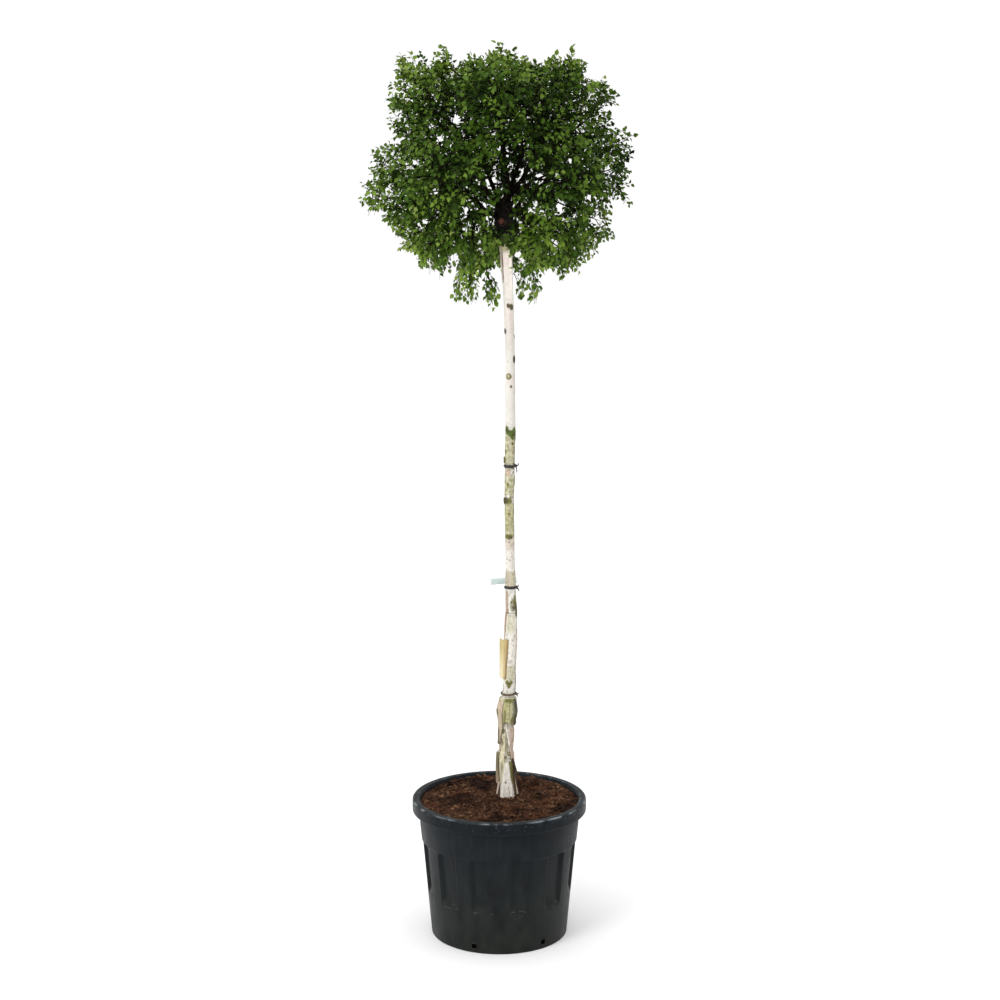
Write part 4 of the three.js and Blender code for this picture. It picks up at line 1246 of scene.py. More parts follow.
THIN_LANES = [
    (-0.080, 2.060, 0.062, 0.42), (0.173, 2.065, 0.046, 0.50), (0.040, 2.190, 0.055, 0.22),
    (-0.136, 2.262, 0.050, 0.30), (0.275, 2.085, 0.025, 0.45), (-0.205, 2.198, 0.036, 0.40),
    (0.126, 2.155, 0.042, 0.42), (0.010, 2.060, 0.070, 0.32), (-0.040, 2.130, 0.050, 0.35),
]
TOP_TUFTS = [
    (-0.252, 2.450, 0.012, 0.034), (-0.200, 2.434, 0.018, 0.030), (-0.139, 2.470, 0.018, 0.044),
    (-0.072, 2.452, 0.024, 0.034), (0.002, 2.474, 0.028, 0.042), (0.050, 2.446, 0.022, 0.030),
    (0.092, 2.452, 0.022, 0.034), (0.150, 2.456, 0.015, 0.040), (0.199, 2.472, 0.023, 0.072),
    (0.281, 2.388, 0.019, 0.038),
]
# height, and how far from the crown's axis a goal may lie, the same all the way round
OUTLINE = np.array([
    (1.84, 0.06), (1.88, 0.13), (1.91, 0.195), (1.935, 0.228), (1.965, 0.268), (2.00, 0.305), (2.05, 0.36),
    (2.10, 0.42), (2.28, 0.42), (2.32, 0.345), (2.36, 0.320), (2.415, 0.288), (2.47, 0.256), (2.52, 0.20),
])
CROWN_AXIS = -0.015
STEM_TOP = (0.018, 0.005)
eye_place = np.array(camera.location)


def in_lane(places, lanes, spare, front_only=False):
    """Whether each place lies in one of the lanes, as seen from the front."""
    way = places - eye_place
    reach = way[:, 1] / -eye_place[1]
    across = eye_place[0] + way[:, 0] / reach
    up = eye_place[2] + way[:, 2] / reach
    found = np.zeros(len(places), bool)
    for x, z, radius in lanes:
        found |= np.hypot(across - x, up - z) < radius + spare
    return found & (places[:, 1] < 0.0) if front_only else found


def blocked(places, spare):
    return in_lane(places, SKY_LANES, spare) | in_lane(places, FRONT_LANES, spare, True)


def past_outline(places):
    """Whether each place lies outside the round outline."""
    from_axis = np.hypot(places[:, 0] - CROWN_AXIS, places[:, 1])
    return from_axis > np.interp(places[:, 2], OUTLINE[:, 0], OUTLINE[:, 1])


def thinned(places):
    """Draws which places the thin parts of the crown lose."""
    lost = np.zeros(len(places), bool)
    for x, z, radius, share in THIN_LANES:
        lost |= in_lane(places, [(x, z, radius)], 0.0) & (dice.random(len(places)) < share)
    return lost


def spaced_out(places, spacing):
    """Drops every place that lies too near to one already kept."""
    kept, cells = [], {}
    for place in places:
        cell = tuple(np.floor(place / spacing).astype(int))
        near = (
            other
            for dx in (-1, 0, 1) for dy in (-1, 0, 1) for dz in (-1, 0, 1)
            for other in cells.get((cell[0] + dx, cell[1] + dy, cell[2] + dz), ())
        )
        if all(((place - other) ** 2).sum() > spacing * spacing for other in near):
            cells.setdefault(cell, []).append(place)
            kept.append(place)
    return np.array(kept)


def near_stem(places, spare):
    """Whether each place is in the clear space round the bare stem."""
    return (places[:, 2] < 2.0) & (np.hypot(places[:, 0] - STEM_TOP[0], places[:, 1] - STEM_TOP[1]) < spare)


def crown_goals():
    """Places inside the rooms, and in the gaps between them where those lie within the crown."""
    size = CROWN_HIGH - CROWN_LOW
    tries = dice.uniform(CROWN_LOW, CROWN_HIGH, (int(np.prod(size) * GOALS_PER_CUBIC_METRE), 3))
    out = outwardness(tries)
    depth = np.array([depth_inside(place, SOLID_MASSES) for place in tries])
    in_room = depth > np.where(tries[:, 2] > 2.38, 0.002, GOAL_DEPTH)
    inside = in_room | ((depth > -GAP_REACH) & (out < 0.90) & (tries[:, 2] > 1.93))
    crowding = smoothstep(0.30, 0.70, out)
    return tries[inside & ~near_stem(tries, 0.05) & (dice.random(len(tries)) < 0.08 + crowding)]


STRANDS = 6
STRAND_SHIFT = {"mass_trailing_3": 0.020}


def trailing_goals(name):
    """Places along a few strands that hang through a trailing room, each bowed its own way."""
    low, high = room_low[name], room_high[name]
    middle, half = (low + high) / 2, (high - low) / 2
    middle[0] += STRAND_SHIFT.get(name, 0.0)
    found = []
    for strand in range(STRANDS):
        offset = dice.uniform(-0.8, 0.8, 2) * half[:2]
        drift = dice.uniform(-0.5, 0.5, 2) * half[:2]
        lowest = dice.uniform(0.0, 0.20 + 0.26 * strand) * half[2]
        count = int((2 * half[2] - lowest) / STRAND_SPACING) + 1
        for k in range(count):
            share = k / count
            level = middle[:2] + offset * (1 - 0.4 * share) + drift * share
            place = np.array([*level, high[2] - k * STRAND_SPACING])
            if depth_inside(place, [name]) > -0.014:
                found.append(place)
    return np.array(found)


def tuft_goals(x, top, half_width, height):
    """Places that fill one round tuft that stands up from the crown's top."""
    middle = np.array([x, dice.uniform(-0.05, 0.02), top - height / 2])
    return middle + dice.uniform(-0.8, 0.8, (60, 3)) * [half_width, half_width, height / 2]


def leading_shoots(name):
    """A corner far outside its neighbours is a leading shoot: tufts of goals run along it."""
    points, faces, _ = rooms[name]
    middle = points.mean(0)
    reach = np.linalg.norm(points - middle, axis=1)
    linked = [set() for _ in points]
    for face in faces:
        for a in face:
            linked[a].update(b for b in face if b != a)
    found = []
    for i, around in enumerate(linked):
        usual = np.mean([reach[b] for b in around])
        if reach[i] > 1.16 * usual:
            tip = middle + (points[i] - middle) * (1 - 0.024 / reach[i])
            start = middle + (tip - middle) * (usual * 0.75 / reach[i])
            steps = max(2, int(np.linalg.norm(tip - start) / 0.012))
            for k in range(1, steps + 1):
                spread = 0.009 * (1.25 - k / steps)
                for _ in range(4):
                    found.append(start + (tip - start) * k / steps + dice.normal(0, spread, 3))
    return found


shoot_goals = [g for name in SOLID_MASSES for g in leading_shoots(name)]
shoot_goals += [g for tuft in TOP_TUFTS for g in tuft_goals(*tuft)]
shoot_goals = spaced_out(shoot_goals, TUFT_SPACING)
sprig_goals = dice.normal((0.000, -0.078, 1.998), (0.020, 0.014, 0.008), (24, 3))
hanging_goals = spaced_out(np.concatenate([trailing_goals(n) for n in MASSES if "trailing" in n]), 0.010)
hanging_goals = hanging_goals[~blocked(hanging_goals, 0.004)]
room_goals = spaced_out(crown_goals(), GOAL_SPACING)
room_goals = room_goals[~blocked(room_goals, 0.008) & ~thinned(room_goals) & ~past_outline(room_goals)]
goals = np.concatenate([shoot_goals, hanging_goals, spaced_out(sprig_goals, 0.010), room_goals])
print(len(goals), "goals,", len(shoot_goals), "on leading shoots and", len(hanging_goals), "on hanging twigs")

# %% [markdown]
# ## Growing the limbs
# The branching rule is the one plants seem to follow when they fill a space. It starts from the
# boughs that leave the graft. At each step every goal pulls on the nearest twig end, each pulled
# place grows a short piece towards the mean of its pulls, and a goal that is reached stops
# pulling. Forks appear by themselves where goals part. The lower crown also sags as it grows,
# because this tree weeps. One growth step leads to the next, so a difference in the last digit
# would grow into another tree: places are rounded to a micron, and every run grows the same one.

# %% Bough lines
STEP = 0.013
REACHED = 0.024
PULL_REACH = 0.11
DECIMALS = 6


def bough_line(name):
    """The middle line of a CAD bough, from the graft's heart to the bough's end."""
    points, _ = corners_of(name)
    far = points[np.argmax(np.linalg.norm(points - np.array(HEAD), axis=1))]
    way = far - np.array(HEAD)
    share = (points - np.array(HEAD)) @ way / (way @ way)
    shares = np.concatenate([share, [0] * 60])
    line = [np.polyfit(shares, np.concatenate([points[:, k], [HEAD[k]] * 60]), 2) for k in range(3)]
    steps = max(3, int(np.linalg.norm(way) / STEP))
    places = []
    for s in np.linspace(0, 1, steps + 1)[1:]:
        kink = np.array(turbulence.noise_vector(Vector(far * 9) + UP * (2.6 * s)))
        sway = 0.016 * math.sin(math.pi * s) ** 0.7 * kink
        places.append((np.array([np.polyval(line[k], s) for k in range(3)]) + sway).round(DECIMALS))
    return places


limb_places, limb_parent = [np.array(HEAD)], [-1]
for name in BOUGHS:
    behind = 0
    for place in bough_line(name):
        limb_places.append(place)
        limb_parent.append(behind)
        behind = len(limb_places) - 1
print(len(limb_places), "places on", len(BOUGHS), "boughs")


# %% Branching rule
def grow(places, parent, goals, step, stop, reach):
    """Grows the limbs until each goal lies within stop of one; returns each goal's foot."""
    nearest = np.zeros(len(goals), int)
    apart = np.full(len(goals), 1e9)
    waiting = np.ones(len(goals), bool)
    fresh = list(range(1, len(places)))
    children = {}
    for _ in range(90):
        spots = np.array([places[i] for i in fresh])
        gaps = np.linalg.norm(goals[:, None, :] - spots[None], axis=2)
        best = gaps.argmin(1)
        closer = waiting & (gaps[np.arange(len(goals)), best] < apart - 1e-9)
        nearest[closer] = np.array(fresh)[best[closer]]
        apart[closer] = gaps[np.arange(len(goals)), best][closer]
        waiting &= apart > stop
        pulling = waiting & (apart < reach)
        if not pulling.any():
            pulling = waiting & (apart < apart[waiting].min() + 0.03) if waiting.any() else waiting
        fresh = []
        for i in np.unique(nearest[pulling]):
            mine = goals[pulling & (nearest == i)] - places[i]
            pull = (mine / np.linalg.norm(mine, axis=1)[:, None]).mean(0)
            low = np.clip((2.20 - places[i][2]) / 0.30, -0.6, 1)
            pull = pull + [0, 0, -0.16 * low] + dice.normal(0, 0.10, 3)
            if parent[i] >= 0:
                came = places[i] - places[parent[i]]
                pull = pull + 0.25 * came / np.linalg.norm(came)
            spot = (places[i] + step * pull / np.linalg.norm(pull)).round(DECIMALS)
            if any(np.linalg.norm(spot - places[c]) < 0.45 * step for c in children.get(i, ())):
                continue
            places.append(spot)
            parent.append(int(i))
            children.setdefault(i, []).append(len(places) - 1)
            fresh.append(len(places) - 1)
        if not fresh:
            break
    return nearest


goals = goals.round(DECIMALS)
goal_foot = grow(limb_places, limb_parent, goals, STEP, REACHED, PULL_REACH)
print(len(limb_places), "places after growing")

# %% [markdown]
# ## How thick each limb is
# A limb carries the sap of all that it feeds, so its cross-section is about the sum of its
# branches' sections. Going from the tips inwards and adding up gives every place its radius.
# Then the thickest branch at each fork carries on its limb, and the others start limbs of
# their own, so that each limb is one smooth run.

# %% Limb girths and runs
TIP_RADIUS = 0.00062
SAP_POWER = 2.5
flow = np.zeros(len(limb_places))
np.add.at(flow, goal_foot, TIP_RADIUS ** SAP_POWER)
for i in range(len(limb_places) - 1, 0, -1):
    flow[i] = max(flow[i], TIP_RADIUS ** SAP_POWER)
    flow[limb_parent[i]] += flow[i]
girth = np.minimum(flow ** (1 / SAP_POWER), 0.0062)
branches = [[] for _ in limb_places]
for i in range(1, len(limb_places)):
    branches[limb_parent[i]].append(i)
runs = []
waiting_starts = [(0, child) for child in branches[0]]
while waiting_starts:
    foot, here = waiting_starts.pop()
    line = [foot, here]
    while branches[here]:
        ranked = sorted(branches[here], key=lambda c: -flow[c])
        waiting_starts += [(here, c) for c in ranked[1:]]
        here = ranked[0]
        line.append(here)
    runs.append(line)
print(len(runs), "runs; thickest", round(1000 * girth[1:].max(), 1), "mm radius")

# %% [markdown]
# ## Sprays
# At each goal stands a spray: a thin shoot with alternate leaves. Its heading mixes the way it
# came, the way out of the crown and its lean, which is up at the top and hanging in the skirt.
# Leaves stand round the shoot by a fixed turn, as on a real one, and each blade faces the light,
# which is mostly up and out.

# %% Spray and leaf plan
SHOOT_LENGTH = (0.030, 0.058)
LEAF_SPACING = 0.0056
LEAF_TURN = math.radians(139)
BLADE = (0.0118, 0.0178)
TINTS = ("shade", "deep", "mid", "warm", "bright", "young")
shoot_lines, shoot_girths = [], []
leaves = {name: [] for name in TINTS}


def in_crown(places, stand_out):
    """Whether each place lies in a room, give or take, or in a gap well within the crown."""
    places = np.array(places)
    depth = np.array([depth_inside(place) for place in places])
    in_gap = (depth > -GAP_REACH) & (outwardness(places) < 0.95) & ~near_stem(places, 0.045)
    return (depth > -stand_out) | in_gap


def unit(vector):
    return vector / max(np.linalg.norm(vector), 1e-9)


def painted_light_tint(place):
    """Painted light and shade: darker greens deep in the crown, lighter ones at its top, outside, low skirt
    and left side.
    """
    high = (place[2] - CROWN_LOW[2]) / (CROWN_HIGH[2] - CROWN_LOW[2])
    out = outwardness(place[None])[0]
    # Painted shade inside the crown, and painted light at the top, outside, low skirt and left side where the
    # high softbox shines.
    score = 0.42 + 0.70 * (out - 0.85) + 0.36 * max(0.0, high - 0.80) / 0.2
    score += 0.16 * smoothstep(0.50, 0.25, high)
    score += 0.14 * smoothstep(-0.12, -0.34, place[0])
    return TINTS[int(np.clip((score + dice.normal(0, 0.15)) * 6, 0, 5.99))]


def leaf_turn(tip_way, face_way):
    """The turn that puts a leaf's length along one way and its upper face towards the other."""
    along = unit(tip_way)
    across = unit(np.cross(along, face_way))
    facing = np.cross(across, along)
    turn = Matrix((across, along, facing)).transposed()
    return turn.to_euler()


low_limit, high_limit = np.array(cad_box[0]) - 0.012, np.array(cad_box[1]) + 0.012
for number, (goal, foot_index) in enumerate(zip(goals, goal_foot)):
    foot = limb_places[foot_index]
    is_tuft = number < len(shoot_goals)
    is_strand = not is_tuft and number < len(shoot_goals) + len(hanging_goals)
    stand_out = 0.05 if is_tuft else 0.012 if is_strand else 0.002 + 0.026 * dice.random() ** 2.2
    lean = float(np.clip((goal[2] - 2.12) / 0.26, -1, 1))
    out = unit((goal - CROWN_HEART) * [1, 1, 0.7])
    heading = unit(unit(goal - foot) + 0.55 * out + [0, 0, 0.65 * lean] + dice.normal(0, 0.24, 3))
    length = dice.uniform(*SHOOT_LENGTH) * (0.55 if is_strand else 1.0)
    if is_strand:
        heading = unit(heading * [0.3, 0.3, 0] + [0, 0, -1])
    sag = 0.008 * (1 - lean)
    bend = foot + 0.45 * (goal - foot) + dice.normal(0, 0.002, 3)
    ahead_length = 0.5 * length
    while ahead_length > 0.004 and not in_crown([goal + heading * ahead_length], stand_out)[0]:
        ahead_length *= 0.7
    aim = goal + heading * ahead_length
    line = []
    for s in np.linspace(0, 1, 6):
        spot = (1 - s) ** 2 * foot + 2 * s * (1 - s) * bend + s * s * aim
        line.append(spot - [0, 0, sag * s * s])
    shoot_lines.append(line)
    shoot_girths.append(np.linspace(TIP_RADIUS * 1.25, TIP_RADIUS * 0.6, len(line)))
    track = np.array(line)
    marks = np.concatenate([[0], np.cumsum(np.linalg.norm(np.diff(track, axis=0), axis=1))])
    spacing = LEAF_SPACING * (1.6 if is_strand else 1.0)
    count = int(min(length, marks[-1]) / spacing) + 1
    # The spray's green is painted light and shade by its place in the crown.
    kind = painted_light_tint(goal)
    turn = dice.uniform(0, 6.28)
    ahead = unit(track[-1] - track[-2])
    side = unit(np.cross(ahead, [0.3, 0.2, 1]))
    for k in range(count):
        at = marks[-1] - k * spacing
        base = np.array([np.interp(at, marks, track[:, c]) for c in range(3)])
        round_way = math.cos(turn) * side + math.sin(turn) * np.cross(ahead, side)
        turn += LEAF_TURN
        spread = 0.25 if k == 0 else 1.0
        tip_way = ahead * 0.8 + round_way * spread + [0, 0, -0.22 + 0.26 * lean] + dice.normal(0, 0.20, 3)
        face_way = np.array([0, 0, 0.85]) + 0.45 * out + 0.35 * round_way + dice.normal(0, 0.50, 3)
        size = dice.uniform(*BLADE) * (0.8 if k == 0 else 1.0)
        shape = int(dice.integers(0, 4))
        leaves[kind].append((base, leaf_turn(tip_way, face_way), size, shape, unit(tip_way), stand_out))
print(sum(len(v) for v in leaves.values()), "leaves planned", {k: len(v) for k, v in leaves.items()})

# %% [markdown]
# ## Limb and twig meshes
# The boughs show their rough bark in the open heart, so they are modelled as tubes with noise in
# their radius. The hundreds of fine twigs follow lines and nothing more, so Geometry Nodes sweeps
# a small ring along them: each line is a chain of edges that carries its girth.


# %% Bough mesh
def smooth_line(line, radii, times=2):
    """Rounds the corners of a line by cutting them, so many times over."""
    line, radii = np.array(line), np.array(radii)
    for _ in range(times):
        quarter = lambda a: np.stack([0.75 * a[:-1] + 0.25 * a[1:], 0.25 * a[:-1] + 0.75 * a[1:]], 1)
        joined = lambda a: np.concatenate([a[:1], quarter(a).reshape(-1, *a.shape[1:]), a[-1:]])
        line, radii = joined(line), joined(radii)
    return line, radii


def tube(line, radii, sides):
    """Rings round a line, closed at both ends; returns places and faces."""
    ahead = np.gradient(line, axis=0)
    ahead /= np.linalg.norm(ahead, axis=1)[:, None]
    side = unit(np.cross(ahead[0], [0.31, 0.17, 0.93]))
    places = []
    for spot, way, radius in zip(line, ahead, radii):
        side = unit(side - way * (side @ way))
        other = np.cross(way, side)
        for k in range(sides):
            turn = 2 * math.pi * k / sides
            ray = math.cos(turn) * side + math.sin(turn) * other
            knobs = 0.16 * turbulence.noise(Vector(spot * 150 + ray * 1.3))
            knobs += 0.10 * turbulence.noise(Vector(spot * 420 + ray * 2))
            places.append(spot + ray * radius * (1 + knobs))
    faces = grid_faces(len(line), sides)
    faces += [tuple(reversed(range(sides))), tuple(range(len(places) - sides, len(places)))]
    return places, faces


BOUGH_GIRTH = 0.0021
bough_places, bough_faces, thin_lines, thin_girths = [], [], [], []
for run in runs:
    radii = girth[run].copy()
    radii[0] = min(radii[0], radii[1] * 1.25)
    line = [limb_places[i] for i in run]
    if radii[1] < BOUGH_GIRTH:
        thin_lines.append(line)
        thin_girths.append(radii)
        continue
    line, radii = smooth_line(line, radii)
    new_places, new_faces = tube(line, radii, 8)
    shift = len(bough_places)
    bough_places += new_places
    bough_faces += [tuple(v + shift for v in face) for face in new_faces]
boughs = report(mesh_object("boughs", bough_places, bough_faces))


# %% Twig tree
def read_attribute(tree, name, kind):
    """A number or vector that the mesh carries, for a node tree to use."""
    read = tree_node(tree, "GeometryNodeInputNamedAttribute", {"Name": name}, data_type=kind)
    return read.outputs["Attribute"]


def twig_tree():
    tree, keys, source, result = new_tree("twig_sweep", {
        "Sides": "NodeSocketInt", "Thickness": "NodeSocketFloat", "Finish": "NodeSocketMaterial"})
    add = lambda kind, inputs=None, **settings: tree_node(tree, kind, inputs, **settings)
    out = source.outputs
    lines = add("GeometryNodeMeshToCurve", {"Mesh": out["Geometry"]})
    carried = read_attribute(tree, "girth", "FLOAT")
    radius = add("ShaderNodeMath", {0: carried, 1: out["Thickness"]}, operation="MULTIPLY")
    ring = add("GeometryNodeCurvePrimitiveCircle", {"Resolution": out["Sides"], "Radius": 1.0})
    swept = add("GeometryNodeCurveToMesh", {
        "Curve": lines.outputs[0], "Profile Curve": ring.outputs[0], "Scale": radius.outputs[0],
        "Fill Caps": True})
    end_tree(tree, result, swept.outputs[0], out["Finish"])
    return tree, keys


def chain_object(name, lines, girths):
    """Chains of edges, one for each line, with the girth stored on every place."""
    places, edges, radii = [], [], []
    for line, widths in zip(lines, girths):
        first = len(places)
        places += [tuple(map(float, p)) for p in line]
        radii += list(widths)
        edges += [(k, k + 1) for k in range(first, len(places) - 1)]
    mesh = bpy.data.meshes.new(name)
    mesh.from_pydata(places, edges, [])
    made = bpy.data.objects.new(name, mesh)
    scene.collection.objects.link(made)
    paint_attribute(made, "girth", radii)
    return made


# %% Dark bark finish and twigs
dark = Finish("dark_bark", roughness=0.8, gloss=0.06)
knotty = dark.noise(130, 4)
dark_tone = dark.mix(dark.ramp(knotty, 0.3, 0.7), tint(10, 7, 5), tint(27, 20, 15))
dark_tone = dark.mix(dark.ramp(dark.noise(34, 3), 0.52, 0.7, 0, 0.5), dark_tone, tint(50, 43, 34))
dark.colour(dark_tone)
dark.relief(knotty, 0.0008, 0.8)
boughs.data.materials.append(dark.material)

sweep, sweep_keys = twig_tree()
twig_settings = {"Sides": 4, "Thickness": 1.0, "Finish": dark.material}
smooth_thin = [smooth_line(line, radii, 1) for line, radii in zip(thin_lines, thin_girths)]
twig_chains = chain_object("twig_chains", *zip(*smooth_thin))
run_tree(twig_chains, sweep, sweep_keys, twig_settings)
twigs = report(settled(twig_chains, "twigs"))
shoot_chains = chain_object("shoot_chains", shoot_lines, shoot_girths)
run_tree(shoot_chains, sweep, sweep_keys, {**twig_settings, "Sides": 3})
shoots = report(settled(shoot_chains, "shoots"))
for piece, nodes in ((boughs, BOUGHS), (twigs, TRAILERS), (shoots, TRAILERS)):
    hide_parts(*nodes)
    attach(piece, "root")

# %% [markdown]
# ## Leaves
# A birch leaf is a pointed oval, widest below the middle, folded a little along its midrib and
# drooping at the tip. It is repeated many thousand times, so it has only nine faces, its stalk
# among them, and four shapes with other folds and droops keep it from looking stamped. Geometry
# Nodes puts a shape on each planned place with the stored turn and size.

# %% Leaf shapes
# how far along the leaf, and its half-width there, as shares of its length
LEAF_STATIONS = ((0.0, 0.0), (0.17, 0.30), (0.42, 0.38), (0.74, 0.20), (1.0, 0.0))
PETIOLE = 0.30


def leaf_shape(name, fold, droop, twist):
    """A leaf one unit long beyond its stalk, with a chart that its veins are drawn on."""
    places, faces, flat = [], [], []
    rib, right, left = [], [None], [None]

    def put(across, along):
        flat.append((0.5 + across, along))
        bent = droop * along * along
        length = PETIOLE + along - 0.35 * bent * along
        places.append((across + twist * along * along, length, fold * abs(across) - bent))
        return len(places) - 1

    for along, half in LEAF_STATIONS:
        rib.append(put(0.0, along))
        if 0 < half:
            right.append(put(half, along))
            left.append(put(-half, along))
    right.append(rib[-1])
    left.append(rib[-1])
    right[0] = left[0] = rib[0]
    for k in range(len(LEAF_STATIONS) - 1):
        for edge, flip in ((right, False), (left, True)):
            ring = [rib[k], edge[k], edge[k + 1], rib[k + 1]]
            ring = [v for j, v in enumerate(ring) if v not in ring[:j]]
            faces.append(tuple(reversed(ring)) if flip else tuple(ring))
    stalk = [len(places) + k for k in range(4)]
    places += [(-0.028, 0, 0), (0.028, 0, 0), (0.016, PETIOLE + 0.05, -0.01), (-0.016, PETIOLE + 0.05, -0.01)]
    flat += [(0.5, 0.0)] * 4
    faces.append(tuple(stalk))
    made = mesh_object(name, places, faces)
    scene.collection.objects.unlink(made)
    chart = made.data.uv_layers.new(name="leaf")
    for loop in made.data.loops:
        chart.data[loop.index].uv = flat[loop.vertex_index]
    return made


# fold, droop and twist
LEAF_SHAPES = [(0.30, 0.16, 0.02), (0.42, 0.28, -0.05), (0.18, 0.10, 0.06), (0.50, 0.36, -0.02)]
leaf_shapes = bpy.data.collections.new("leaf_shapes")
for i, shape in enumerate(LEAF_SHAPES):
    leaf_shapes.objects.link(leaf_shape(f"leaf_{i}", *shape))


# %% Leaf tree
def leaf_tree():
    tree, keys, source, result = new_tree("leaf_places", {
        "Shapes": "NodeSocketCollection", "Growth": "NodeSocketFloat", "Finish": "NodeSocketMaterial"})
    add = lambda kind, inputs=None, **settings: tree_node(tree, kind, inputs, **settings)
    out = source.outputs
    size = read_attribute(tree, "size", "FLOAT")
    grown = add("ShaderNodeMath", {0: size, 1: out["Growth"]}, operation="MULTIPLY").outputs[0]
    placed = add("GeometryNodeInstanceOnPoints", {
        "Points": out["Geometry"], "Instance": separate_shapes(tree, out["Shapes"]), "Pick Instance": True,
        "Instance Index": read_attribute(tree, "shape", "INT"),
        "Rotation": read_attribute(tree, "turn", "FLOAT_VECTOR"), "Scale": grown})
    end_tree(tree, result, placed.outputs[0], out["Finish"])
    return tree, keys


# %% [markdown]
# Leaf colour is plain and dealt out by spray, in six greens from deep and bluish to light and
# yellowish. Which green a spray gets is painted light and shade: darker inside the crown, lighter
# at its top, outside, low skirt and left side, with a random share. The veins and the soft cupping
# between them are relief, drawn from the leaf's own chart, and the upper face has a dull wax shine.

# %% Leaf finishes
# Greens from darkest, for painted shade, to lightest, for painted light.
LEAF_TINTS = {
    "shade": tint(20, 32, 5), "deep": tint(34, 53, 9), "mid": tint(55, 81, 20), "warm": tint(79, 104, 34),
    "bright": tint(101, 126, 45), "young": tint(127, 148, 68),
}


def leaf_finish(name, colour):
    green = Finish("leaf_" + name, roughness=0.40, gloss=0.07)
    green.colour((*colour, 1))
    chart = green.node("ShaderNodeUVMap", uv_map="leaf").outputs["UV"]
    parts = green.node("ShaderNodeSeparateXYZ", {"Vector": chart})
    off_rib = green.maths("ABSOLUTE", green.maths("SUBTRACT", parts.outputs["X"], 0.5))
    along = green.times(parts.outputs["Y"], 44.0)
    slant = green.maths("SUBTRACT", along, green.times(off_rib, 40.0))
    veins = green.maths("SINE", slant)
    rib = green.ramp(off_rib, 0.05, 0.0)
    green.relief(green.maths("ADD", green.times(veins, 0.4), rib), 0.0006, 0.5)
    return green.material


LEAF_STAND_OUT = 0.005
scatter, scatter_keys = leaf_tree()
for kind, planned in leaves.items():
    reach = np.array([base + way * size * (1 + PETIOLE) for base, _, size, _, way, _ in planned])
    base = np.array([entry[0] for entry in planned])
    keep = ~blocked((reach + base) / 2, 0.0)
    keep &= in_crown((reach + base) / 2, LEAF_STAND_OUT + np.array([entry[5] for entry in planned]))
    keep &= (reach > low_limit).all(1) & (reach < high_limit).all(1)
    planned = [entry for entry, good in zip(planned, keep) if good]
    cloud = bpy.data.meshes.new("leaf_cloud")
    cloud.from_pydata([tuple(map(float, entry[0])) for entry in planned], [], [])
    carrier = bpy.data.objects.new("leaf_cloud", cloud)
    scene.collection.objects.link(carrier)
    paint_attribute(carrier, "turn", [tuple(entry[1]) for entry in planned], "FLOAT_VECTOR")
    paint_attribute(carrier, "size", [entry[2] for entry in planned])
    number = cloud.attributes.new("shape", "INT", "POINT")
    number.data.foreach_set("value", np.array([entry[3] for entry in planned], np.int32))
    run_tree(carrier, scatter, scatter_keys, {
        "Shapes": leaf_shapes, "Growth": 1.0, "Finish": leaf_finish(kind, LEAF_TINTS[kind])})
    foliage = report(settled(carrier, f"leaves_{kind}"))
    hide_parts(*MASSES)
    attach(foliage, "root")

# %% [markdown]
# ## Ties and tag
# Three soft black ties hold the stem, each wound round twice and knotted, with short tails, and
# the lowest is dusty with soil. A blank
# turquoise strip is tucked behind the stem as a tag. Both are straps: a flat section carried along
# a path, so one helper makes them all.


# %% Strap helper
def strap(line, faces_out, width, thick):
    """A flat band along a line; faces_out gives the way that its broad side looks at each place."""
    line = np.array(line, float)
    ahead = np.gradient(line, axis=0)
    ahead /= np.linalg.norm(ahead, axis=1)[:, None]
    w, t, soft = width / 2, thick / 2, thick * 0.3
    section = [(-w, -t + soft), (-w + soft, -t), (w - soft, -t), (w, -t + soft),
               (w, t - soft), (w - soft, t), (-w + soft, t), (-w, t - soft)]
    places = []
    for spot, way, out in zip(line, ahead, faces_out):
        out = unit(np.array(out, float) - way * (np.array(out, float) @ way))
        across = np.cross(way, out)
        places += [spot + across * a + out * b for a, b in section]
    faces = grid_faces(len(line), 8)
    faces += [tuple(reversed(range(8))), tuple(range(len(places) - 8, len(places)))]
    return places, faces


def joined_object(name, parts):
    places, faces = [], []
    for new_places, new_faces in parts:
        shift = len(places)
        places += list(new_places)
        faces += [tuple(v + shift for v in face) for face in new_faces]
    made = mesh_object(name, places, faces)
    return report(made)


# %% Ties
# tie: slope across the front in mm, then each tail's run outwards, sideways and up, in mm
TIES = {
    "tie_1": (1.5, [(5, 9, 1), (4, 6, -9)]),
    "tie_2": (-1.0, [(4, 8, -12), (4, 4, 8)]),
    "tie_3": (3.0, [(6, 9, 7), (3, 3, -18)]),
}
TIE_BEARING = math.radians(-25)
UP_ARRAY = np.array([0.0, 0.0, 1.0])
tie_rubber = Finish("tie_rubber", roughness=0.6, gloss=0.4)
tie_wear = tie_rubber.noise(220, 4)
tie_height = tie_rubber.height()
tie_tone = tie_rubber.mix(tie_rubber.ramp(tie_wear, 0.35, 0.7), tint(22, 20, 17), tint(58, 53, 45))
earthy = tie_rubber.mix(tie_rubber.ramp(tie_wear, 0.4, 0.65), tint(58, 48, 36), tint(128, 112, 90))
tie_rubber.colour(tie_rubber.mix(tie_rubber.ramp(tie_height, 0.80, 0.75, 0, 0.8), tie_tone, earthy))
tie_rubber.relief(tie_wear, 0.0005, 0.7)


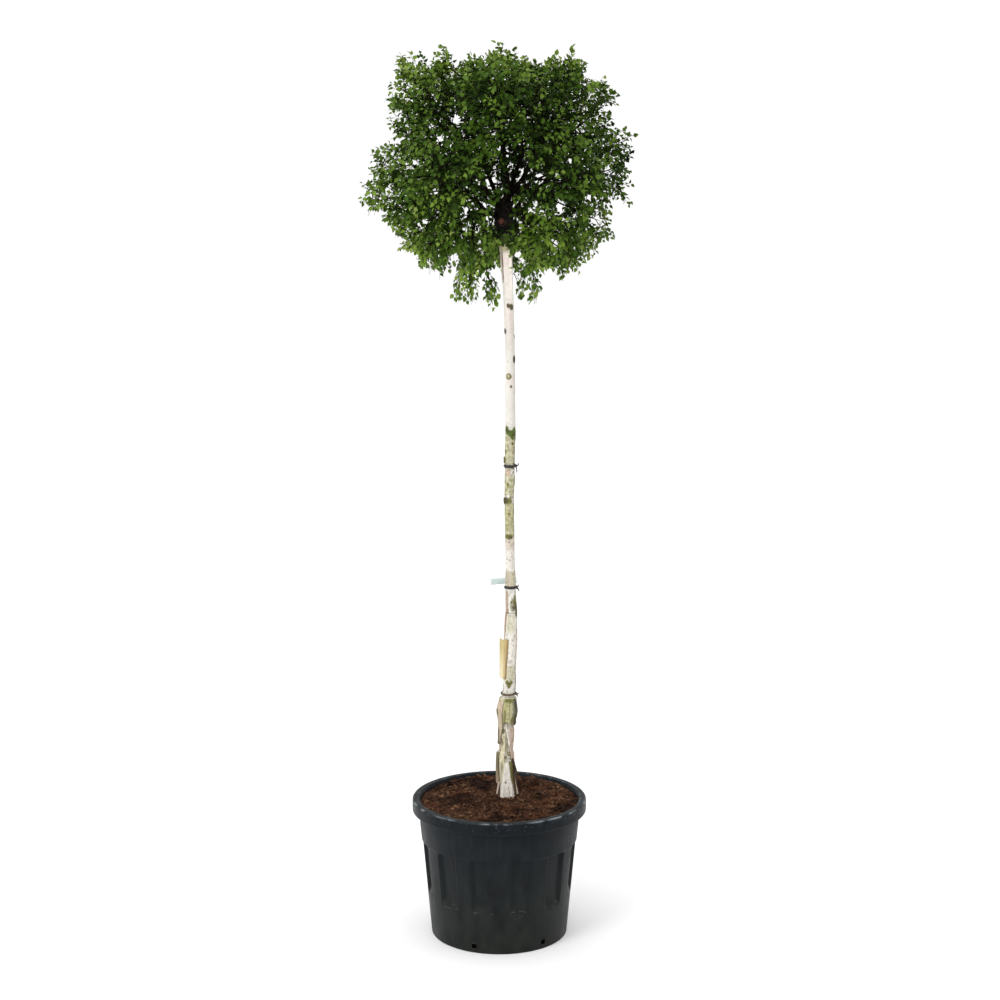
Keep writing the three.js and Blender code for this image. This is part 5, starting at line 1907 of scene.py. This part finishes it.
def make_tie(name, slope, tails):
    """Two turns round the stem, a small loop over them as the knot, and the tails."""
    low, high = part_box(name)
    height = (low.z + high.z) / 2
    x, y, radius = stem_at(height)
    ring = radius + 0.0018
    parts = []
    for turn_slope, drop, width in ((slope, 0.0006, 0.0062), (-slope * 1.2, -0.0004, 0.0040)):
        turns = np.linspace(0, 2 * math.pi, 61) + TIE_BEARING
        out = np.column_stack([np.cos(turns), np.sin(turns), np.zeros(61)])
        lift = 0.001 * turn_slope * np.sin(turns - TIE_BEARING) * 0.8
        reach = ring + (0.0012 if width < 0.005 else 0)
        line = np.column_stack([x + out[:, 0] * reach, y + out[:, 1] * reach, height + drop + lift])
        parts.append(strap(line, out, width, 0.0016))
    way = np.array([math.cos(TIE_BEARING), math.sin(TIE_BEARING), 0])
    aside = np.array([-way[1], way[0], 0])
    knot = np.array([x, y, height]) + way * (ring + 0.0016)
    turns = np.linspace(-0.7, math.pi + 0.7, 15)
    loop = [
        knot + aside * 0.0042 * math.cos(t) + way * 0.0030 * math.sin(t)
        + UP_ARRAY * (0.0020 * math.cos(2 * t))
        for t in turns
    ]
    parts.append(strap(loop, [way * math.sin(t) + aside * math.cos(t) for t in turns], 0.0058, 0.0017))
    for out_mm, side_mm, up_mm in tails:
        end = knot + 0.001 * (way * out_mm + aside * side_mm + UP_ARRAY * up_mm)
        bend = knot + 0.001 * (way * (out_mm + 1.5) + aside * side_mm * 0.4 + UP_ARRAY * up_mm * 0.2)
        shares = np.linspace(0, 1, 10)[:, None]
        line = (1 - shares) ** 2 * knot + 2 * shares * (1 - shares) * bend + shares ** 2 * end
        parts.append(strap(line, [way] * 10, 0.0042, 0.0014))
    made = joined_object(name + "_strap", parts)
    made.data.materials.append(tie_rubber.material)
    return made


for name, (slope, tails) in TIES.items():
    tie = make_tie(name, slope, tails)
    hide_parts(name)
    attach(tie, "root")

# %% Tag
tag_low, tag_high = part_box("tag")
TAG_STEPS = 25
tag_run, tag_rise = tag_high.x - tag_low.x + 0.004, tag_high.z - tag_low.z - 0.0150
tag_line = [
    (tag_low.x - 0.004 + tag_run * s,
     (tag_low.y + tag_high.y) / 2 + 0.0018 * math.sin(3.0 * s),
     tag_low.z + 0.0075 + tag_rise * s)
    for s in np.linspace(0, 1, TAG_STEPS)
]
tag_strip = joined_object("tag_strip", [strap(tag_line, [(0, -1, 0)] * TAG_STEPS, 0.0172, 0.0009)])
tag_finish = Finish("tag_plastic", roughness=0.4, gloss=0.5)
tag_wear = tag_finish.noise(70, 4)
tag_tone = tag_finish.mix(tag_finish.ramp(tag_wear, 0.35, 0.7), tint(174, 190, 186), tint(190, 202, 198))
tag_finish.colour(tag_tone)
tag_finish.roughness(tag_finish.ramp(tag_wear, 0.3, 0.7, 0.32, 0.5))
tag_finish.relief(tag_wear, 0.0003, 0.4)
tag_strip.data.materials.append(tag_finish.material)
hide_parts("tag")
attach(tag_strip, "root")

# %% Finish
for shapes in (chip_shapes, leaf_shapes):
    for helper in list(shapes.objects):
        bpy.data.objects.remove(helper)
    bpy.data.collections.remove(shapes)
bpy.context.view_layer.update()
